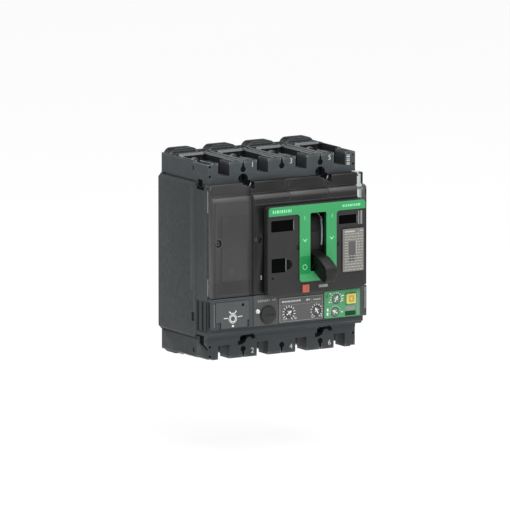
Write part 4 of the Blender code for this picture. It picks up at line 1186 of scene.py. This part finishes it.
keel = along_handle(KEEL)
make("toggle_handle_grip", prism("FZ", smooth_loop(along_handle(PADDLE)), 85.6, 96.2), HANDLE,
     [bevel(0.9, 4, 60), cut(prism("FZ", keel, 95.3, 99)), cut(prism("FZ", keel, 83, 86.5)),
      bevel(0.35, 2, 60)], body="toggle", stands_for="toggle_handle")
drum = arc_band(PIVOT_F, PIVOT_Z, 37.4, 39.4, REST - SHUTTER_HALF, REST + SHUTTER_HALF, 36)
make("toggle_shutter", prism("FZ", drum, 81.9, 99.9), SHUTTER,
     [bevel(0.3, 2, 50),
      add(prism("FZ", along_handle(ARM), 86.4, 95.4)),
      add(cross_rod(82.2, PIVOT_F, PIVOT_Z, 4.4, 17.4, 40)),
      add(cross_rod(78.5, PIVOT_F, PIVOT_Z, 2.7, 24.2, 40))], body="toggle")
# raised rib above the handle, and a pale line that paints a highlight, with a hook and knob to
# its right
rib = arc_band(PIVOT_F, PIVOT_Z, 39.0, 39.9, REST + radians(6), REST + radians(27), 12)
make("shutter_rib", prism("FZ", rib, 86.4, 94.8), SHUTTER_GREY, [bevel(0.25, 2, 50)],
     body="toggle")
edge = [(96.7 + 1.9 * (k / 14) ** 1.6, REST + radians(12 + 31 * k / 14)) for k in range(15)]
make("shutter_highlight", strip_on_drum(edge, 1.05, 39.1, 39.95), RIM, body="toggle")
hook = [(98.5 - 2.0 * k / 6, REST + radians(43 + 6 * k / 6)) for k in range(7)]
make("shutter_highlight_hook", strip_on_drum(hook, 0.7, 39.1, 39.9), RIM, body="toggle")
knob = [(98.35, REST + radians(38.5)), (98.35, REST + radians(40.7))]
make("shutter_highlight_knob", strip_on_drum(knob, 1.7, 39.1, 40.05), RIM, body="toggle")

# ======================================================================
# trip button
# ======================================================================
make("trip_button_cap", block(76.9, 82.8, 85.8, 89.6, -27.1, -21.1), RED,
     [bevel(0.35, 3), cut(block(78.4, 81.3, 89.2, 92, -25.6, -22.6)),
      add(block(78.6, 80.9, 66.0, 87.0, -23.2, -21.3)), bevel(0.1, 1, 60)],
     body="trip_button", stands_for="trip_button")
# lighter tag under the handle
marks("toggle_tag", [rounded(91.8, 100.0, -24.4, -22.2, 0.5, 3)], FASCIA_FRONT - 0.02,
      FASCIA_FRONT + 0.14, INK_GREY)

# ======================================================================
# trip unit
# ======================================================================
# dials: x, z, pointer angle in degrees, material
DIALS = {"current": (68.6, -43.3, 35, DIAL), "delay": (93.8, -43.6, 120, DIAL),
         "sensitivity": (111.5, -36.0, 60, DIAL_GREEN), "time": (110.5, -46.1, 150, DIAL_GREEN)}
# tick marks: inner and outer radius, first and last angle in degrees, count
SCALES = {"current": (4.1, 6.0, -60, 240, 13), "delay": (4.1, 5.6, -60, 240, 13),
          "sensitivity": (4.1, 5.4, -30, 210, 11), "time": (4.15, 4.95, 10, 190, 9)}
# sunk plates: x0, x1, z0, z1
SETTINGS_PLATE = (59.5, 99.7, -50.5, -31.0)
LEAKAGE_PLATE = (100.8, 133.3, -50.7, -29.4)
NEUTRAL_PLATE = (2.4, 32.5, -50.7, -30.0)
PLATE_GAP = 0.3
CONNECTOR, LAMP, TEST_OPENING = (49.7, -43.0), (40.6, -39.8), (119.9, 129.2, -41.1, -32.3)
INK_BACK = 82.28                # back of the marks on the plates


def plate_recess(x0, x1, z0, z1):
    return cut(block(x0 - PLATE_GAP, x1 + PLATE_GAP, 81.2, FAR, z0 - PLATE_GAP, z1 + PLATE_GAP))


def plate_sheet(limits):
    return prism("XZ", rounded(*limits, 0.8, 5), 81.5, 82.3)


def dial_holes(*kinds):
    return [cut(rod(DIALS[kind][0], 70, DIALS[kind][1], 3.95, 30, 40)) for kind in kinds]


def test_opening():
    x0, x1, z0, z1 = TEST_OPENING
    return cut(block(x0, x1, 70, FAR, z0, z1))


steps = [bevel(0.45, 3),
         add(block(39.0, 136.0, 56.5, 75, -51.3, -28.0)),
         cut(block(41.0, 134.0, 50, 78.0, -49.6, -29.6)),
         plate_recess(*SETTINGS_PLATE), plate_recess(*LEAKAGE_PLATE), test_opening(),
         cut(rod(CONNECTOR[0], 80.2, CONNECTOR[1], 6.05, 6, 40)),
         cut(rod(LAMP[0], 79.5, LAMP[1], 2.35, 6)),
         cut(rod(CONNECTOR[0], 81.6, CONNECTOR[1], 7.3, 6, 48)),
         cut(prism("XZ", rounded(134.6, 138.8, -49.0, -32.0, 0.6, 4), 81.5, FAR))]
for x, z, _, _ in DIALS.values():
    steps.append(cut(rod(x, 79.9, z, 3.95, 8, 36)))
    steps.append(cut(rod(x, 70, z, 1.66, 20, 24)))
steps.append(bevel(0.12, 1, 50))
make("trip_unit_shell", block(*MAIN_X, 73.9, TRIP_FRONT, *LOWER_Z), TRIP, steps,
     stands_for="trip_unit_housing")
make("settings_plate_sheet", plate_sheet(SETTINGS_PLATE), GREY,
     dial_holes("current", "delay") + [bevel(0.15, 2, 50)],
     stands_for="settings_plate")
steps = dial_holes("sensitivity", "time")
steps += [test_opening(),
          cut(prism("XZ", rounded(119.6, 129.6, -50.2, -46.4, 0.6, 4), 81.75, FAR)),
          cut(prism("XZ", rounded(101.6, 103.8, -34.6, -31.4, 0.5, 4), 81.75, FAR)),
          bevel(0.15, 2, 50)]
make("leakage_plate_sheet", plate_sheet(LEAKAGE_PLATE), LEAKAGE_GREEN, steps,
     stands_for="leakage_plate")
make("leakage_recess", block(119.8, 129.4, 81.55, 81.8, -50.0, -46.6), SLOT_GREEN)
# painted highlight: a pale strip down the right edge of the trip unit
make("trip_unit_edge_highlight", block(137.7, 138.4, 81.7, 82.14, -45.4, -29.0), RIM, [bevel(0.15)])
marks("leakage_slot", [rounded(120.2, 128.8, -45.6, -42.4, 0.5, 3)], INK_BACK, 82.4,
      INK_GREY)
marks("leakage_edge_bar", [bar(130.5, 131.7, -50.0, -31.0)], INK_BACK, 82.38, INK_GREY)

# border, heading and scales of the plates
border = [bar(60.1, 99.1, -31.9, -31.5), bar(60.1, 99.1, -50.1, -49.7),
          bar(60.1, 60.5, -49.68, -31.92), bar(98.7, 99.1, -49.68, -31.92),
          bar(62.0, 88.0, -37.2, -36.95), bar(90.2, 98.0, -37.2, -36.95),
          bar(89.2, 89.45, -37.2, -33.0)]
marks("settings_border", border, INK_BACK, INK_BACK + 0.1, INK_GREY)
heading = [bar(x0, x1, -34.9, -33.6) for x0, x1 in
           random_spans(62.2, 87.0, widths=(0.7, 2.0), gap=0.55) if not 78.0 < x0 < 83.0]
heading.append(bar(90.8, 97.4, -34.9, -34.3))
marks("settings_heading", heading, INK_BACK, INK_BACK + 0.08, INK)
for kind, (inner, outer, first, last, count) in SCALES.items():
    x, z = DIALS[kind][:2]
    ticks = []
    for k in range(count):
        a = radians(first + (last - first) * k / (count - 1))
        ticks.append(stroke(x + inner * cos(a), z + inner * sin(a),
                            x + outer * cos(a), z + outer * sin(a), 0.5))
    marks(f"scale_{kind}", ticks, INK_BACK, INK_BACK + 0.1, INK_BRIGHT)
heading = [bar(105.6, 107.0, -32.0, -31.0), bar(103.0, 104.6, -45.2, -43.0),
           bar(103.0, 104.4, -48.6, -46.2), bar(115.9, 117.7, -47.0, -46.2),
           bar(116.2, 118.6, -34.2, -33.4), bar(116.2, 118.0, -38.0, -37.4),
           bar(104.6, 106.0, -38.6, -37.8)]
marks("leakage_heading", heading, INK_BACK, INK_BACK + 0.08, INK_BRIGHT)
# numbers at the ends of the scales: text, x, z, size
for text, x, z, size in (("1", 63.9, -48.0, 2.3), ("10", 74.3, -48.0, 2.3),
                         ("2", 89.6, -48.2, 2.2), ("8", 98.0, -47.9, 2.2),
                         ("3", 106.0, -36.4, 2.2), ("30", 117.2, -36.2, 2.2)):
    digits(f"scale_no_{text}", text, x, z, size, INK_BACK + 0.02, INK_BRIGHT)

# (radius, height) of a dial; pointer as (radius, degrees from its tip)
DIAL_PROFILE = [(0, 0), (1.5, 0), (1.5, 5.4), (3.55, 5.4), (3.6, 5.6), (3.6, 7.3), (3.4, 7.6),
                (2.9, 7.75), (2.7, 7.6), (0, 7.6)]
POINTER = ((3.0, 0), (1.5, 52), (0.75, 26), (2.6, 170), (2.6, 190), (0.75, -26), (1.5, -52))


def dial(kind, x, z, degrees, material):
    """Setting dial: knurled rim, cross bar and a light pointer."""
    node = f"dial_{kind}"
    steps = [cut(rod(u, 80.0, v, 0.36, 5, 8)) for u, v in circle(x, z, 3.75, 16)]
    make(f"{kind}_dial", turned(x, 74.8, z, DIAL_PROFILE, 48), material,
         steps + [bevel(0.06, 1, 60)], body=node, stands_for=node)
    a = radians(degrees)
    arrow = [(x + r * cos(a + radians(t)), z + r * sin(a + radians(t))) for r, t in POINTER]
    dx, dz = 2.0 * cos(a + pi / 2), 2.0 * sin(a + pi / 2)
    cross = stroke(x + dx, z + dz, x - dx, z - dz, 0.5)
    make(f"{kind}_dial_pointer", prism("XZ", arrow, 82.3, 82.62), INK_BRIGHT,
         [add(prism("XZ", cross, 82.3, 82.58)), bevel(0.06, 1, 60)], body=node)


for kind, values in DIALS.items():
    dial(kind, *values)

# test button
make("test_button_cap", block(120.3, 128.8, 76.0, 84.0, -40.7, -32.7), YELLOW,
     [bevel(0.5, 3), add(block(118.6, 130.5, 75.0, 77.0, -42.2, -31.2)),
      cut(prism("XZ", rounded(122.2, 127.0, -39.2, -34.2, 0.5, 4), 83.55, FAR)),
      bevel(0.1, 1, 60)], body="test_button", stands_for="test_button")
make("test_button_inset", prism("XZ", rounded(122.4, 126.8, -39.0, -34.4, 0.5, 4), 83.4, 83.8),
     ORANGE, [bevel(0.1, 1)], body="test_button")
marks("test_mark", [bar(124.0, 125.2, -38.0, -35.4)], 83.78, 83.86, YELLOW, "test_button")

# connector cap with a finger grip, its heading, and the lamp
CAP_PROFILE = [(0, 0), (5.7, 0), (5.7, 1.8), (6.7, 1.8), (6.8, 1.95), (6.8, 2.7), (6.55, 3.15),
               (6.1, 3.4), (0, 3.4)]
LENS_PROFILE = [(0, 0), (2.0, 0), (2.0, 2.2), (1.8, 2.8), (1.4, 3.3), (0.8, 3.65), (0, 3.74)]
make("connector_cap", turned(CONNECTOR[0], 80.5, CONNECTOR[1], CAP_PROFILE, 56), FASCIA,
     [cut(block(45.6, 53.8, 83.35, 86, -43.9, -42.1)), bevel(0.12, 1, 50)],
     stands_for="test_connector_cap")
heading = [bar(x0, x1, -32.6 + (0.2 if x0 > 50 else -0.1), -31.0) for x0, x1 in
           random_spans(40.4, 57.0, widths=(0.6, 1.7), gap=0.6) if not 51.0 < x0 < 52.6]
marks("connector_heading", heading, TRIP_FRONT, TRIP_FRONT + 0.08, INK_GREY)
make("lamp_lens", turned(LAMP[0], 79.8, LAMP[1], LENS_PROFILE, 36), LENS,
     stands_for="status_led")

# ======================================================================
# lower cover of the neutral pole
# ======================================================================
steps = [bevel(0.45, 3),
         cut(block(2.2, 34.4, 60, 80.0, -49.6, -29.1)),
         plate_recess(*NEUTRAL_PLATE),
         cut(block(-1, 1.7, 74.4, 77.4, -50.6, -30.4)),
         bevel(0.12, 1, 50)]
make("neutral_lower_shell", block(*NEUTRAL_X, 73.9, TRIP_FRONT, *LOWER_Z), LOWER, steps,
     stands_for="neutral_lower_cover")
steps = [cut(rod(27.0, 81.9, -33.2, 1.25, 3, 24)),
         cut(block(1, 7.2, 80, FAR, -52, -45.6)),
         cut(block(30.4, 34, 80, FAR, -52, -45.2)),
         cut(rod(30.6, 81.9, -34.6, 0.4, 3, 12)),
         bevel(0.15, 2, 50)]
make("neutral_plate_sheet", plate_sheet(NEUTRAL_PLATE), NEUTRAL_GREY, steps,
     stands_for="neutral_plate")
make("neutral_edge_line", block(1.0, 1.35, 81.9, 82.06, -49.0, -31.2), INK_GREY)
# painted shade: a dark floor in the plate's hole
make("neutral_plate_hole", prism("XZ", circle(27.0, -33.2, 1.1, 24), 81.8, 82.0), DARK)
# two rings on a line, with short rays above and below
symbol = [ring(17.8, -43.4, 2.0, 2.7), ring(17.8, -43.4, 3.3, 3.7, 36),
          stroke(9.6, -42.6, 13.4, -42.7, 0.55), stroke(22.2, -42.2, 26.4, -41.9, 0.55),
          stroke(14.6, -37.6, 16.2, -39.2, 0.8), stroke(21.0, -37.4, 19.4, -39.2, 0.8),
          bar(16.6, 19.0, -39.5, -38.9), bar(16.9, 18.7, -49.8, -48.4),
          stroke(15.2, -46.2, 16.6, -45.8, 0.7), stroke(20.4, -46.2, 19.0, -45.8, 0.7)]
marks("neutral_symbol", symbol, INK_BACK, 82.38, INK_BRIGHT)

# ======================================================================
# CAD nodes that stay, and the terminal screws
# ======================================================================


def finish_node(node, material):
    obj = frame["nodes"][node]
    if not obj.material_slots:
        obj.data.materials.append(material)
    for slot in obj.material_slots:
        slot.material = material


POLE_NODES = {"line_terminal": TINNED, "load_terminal": TINNED, "moving_contact": COPPER,
              "line_arc_chute": CHUTE, "load_arc_chute": CHUTE, "current_sensor": COIL}
# threaded shank and socket head, as (radius, height)
terminal_screw = [(0, 0), (2.6, 0), (3.0, 0.5)]
for t in range(10):
    terminal_screw += [(3.0, 0.7 + t), (2.72, 1.0 + t), (2.72, 1.2 + t), (3.0, 1.5 + t)]
terminal_screw += [(3.0, 11.0), (4.55, 11.0), (4.7, 11.2), (4.7, 15.2), (4.55, 15.55),
                   (4.2, 15.8), (0, 15.8)]
for i, c in enumerate(POLES, 1):
    for kind, material in POLE_NODES.items():
        finish_node(f"{kind}_{i}", material)
    for z, tag in ((SCREW_Z, "line"), (-SCREW_Z, "load")):
        socket = [(c + 2.5 * cos(radians(30 + 60 * k)), z + 2.5 * sin(radians(30 + 60 * k)))
                  for k in range(6)]
        make(f"{tag}_screw_{i}_socket_head", turned(c, 10.0, z, terminal_screw), BLACKED,
             [cut(prism("XZ", socket, 22.6, 30)), bevel(0.1, 1, 60)],
             stands_for=f"{tag}_screw_{i}")
for node, material in (("contact_shaft", ROTOR), ("mechanism_frame", STEEL),
                       ("main_spring", SPRING), ("trip_bar", STEEL), ("trip_actuator", COIL)):
    finish_node(node, material)

# ======================================================================
# stage, light, camera
# ======================================================================
WHITE = (1.0, 1.0, 1.0)
FLOOR_HALF = 9.0                # metres
floor_z = MID_Z - 150.0 * MM
floor_mesh = bpy.data.meshes.new("floor")
floor_mesh.from_pydata([(x, y, floor_z) for x, y in
                        bar(-FLOOR_HALF, FLOOR_HALF, -FLOOR_HALF, FLOOR_HALF)],
                       [], [(0, 1, 2, 3)])
floor = bpy.data.objects.new("floor", floor_mesh)
bpy.context.scene.collection.objects.link(floor)


def floor_material():
    """Pale floor that mostly glows plain white to the camera."""
    graph = new_material("floor_pale")
    tone = graph.noise(3.0, detail=3.0).ramp(0.3, 0.7)
    matt = graph.add("BsdfPrincipled", Roughness=0.8, Specular_IOR_Level=0.1,
                     Base_Color=graph.mix(tone, (0.93, 0.93, 0.93), (0.90, 0.90, 0.90)))
    glow = graph.add("Emission", Color=WHITE, Strength=1.0)
    to_camera = graph.add("LightPath", out="Is Camera Ray")
    return graph.finish(graph.add("MixShader", to_camera * 0.82, matt, glow))


floor_mesh.materials.append(floor_material())

# the world is a little brighter to the camera than as a light
world = bpy.data.worlds.new("studio")
bpy.context.scene.world = world
graph = Graph(world, "OutputWorld")
to_camera = graph.add("LightPath", out="Is Camera Ray")
lighting = graph.add("Background", Color=WHITE, Strength=0.85)
backdrop = graph.add("Background", Color=WHITE, Strength=1.05)
graph.finish(graph.add("MixShader", to_camera, lighting, backdrop))

centre = Vector((LEFT_X + 61.7 * MM, BACK_Y - 43.0 * MM, MID_Z - 2.75 * MM))


def aim(name, data, direction, distance):
    """Places a light or camera out along a direction, looking back at the centre."""
    obj = bpy.data.objects.new(name, data)
    bpy.context.scene.collection.objects.link(obj)
    obj.location = centre + direction * distance
    obj.rotation_euler = (-direction).to_track_quat("-Z", "Y").to_euler()
    return obj


def area_light(name, direction, distance, size, power):
    light = bpy.data.lights.new(name, "AREA")
    light.shape = "SQUARE"
    light.size = size
    light.energy = power
    aim(name, light, Vector(direction).normalized(), distance)


area_light("key_soft", direction=(0.0, -1.0, 0.9), distance=1.2, size=1.0, power=8.0)
area_light("top_soft", direction=(0.1, -0.1, 1.0), distance=1.3, size=1.2, power=11.0)

AZIMUTH, ELEVATION = radians(-31.3), radians(9.3)    # camera in front, to the left
camera = bpy.data.cameras.new("camera")
camera.sensor_width = 36.0
camera.lens = 800.0
camera.clip_start = 0.1
camera.clip_end = 60.0
toward_camera = Vector((sin(AZIMUTH) * cos(ELEVATION), -cos(AZIMUTH) * cos(ELEVATION),
                        sin(ELEVATION)))
scene = bpy.context.scene
scene.camera = aim("camera", camera, toward_camera, distance=8.8)
scene.view_settings.view_transform = "Standard"
scene.view_settings.look = "None"
scene.view_settings.exposure = 0.0
scene.view_settings.gamma = 1.0
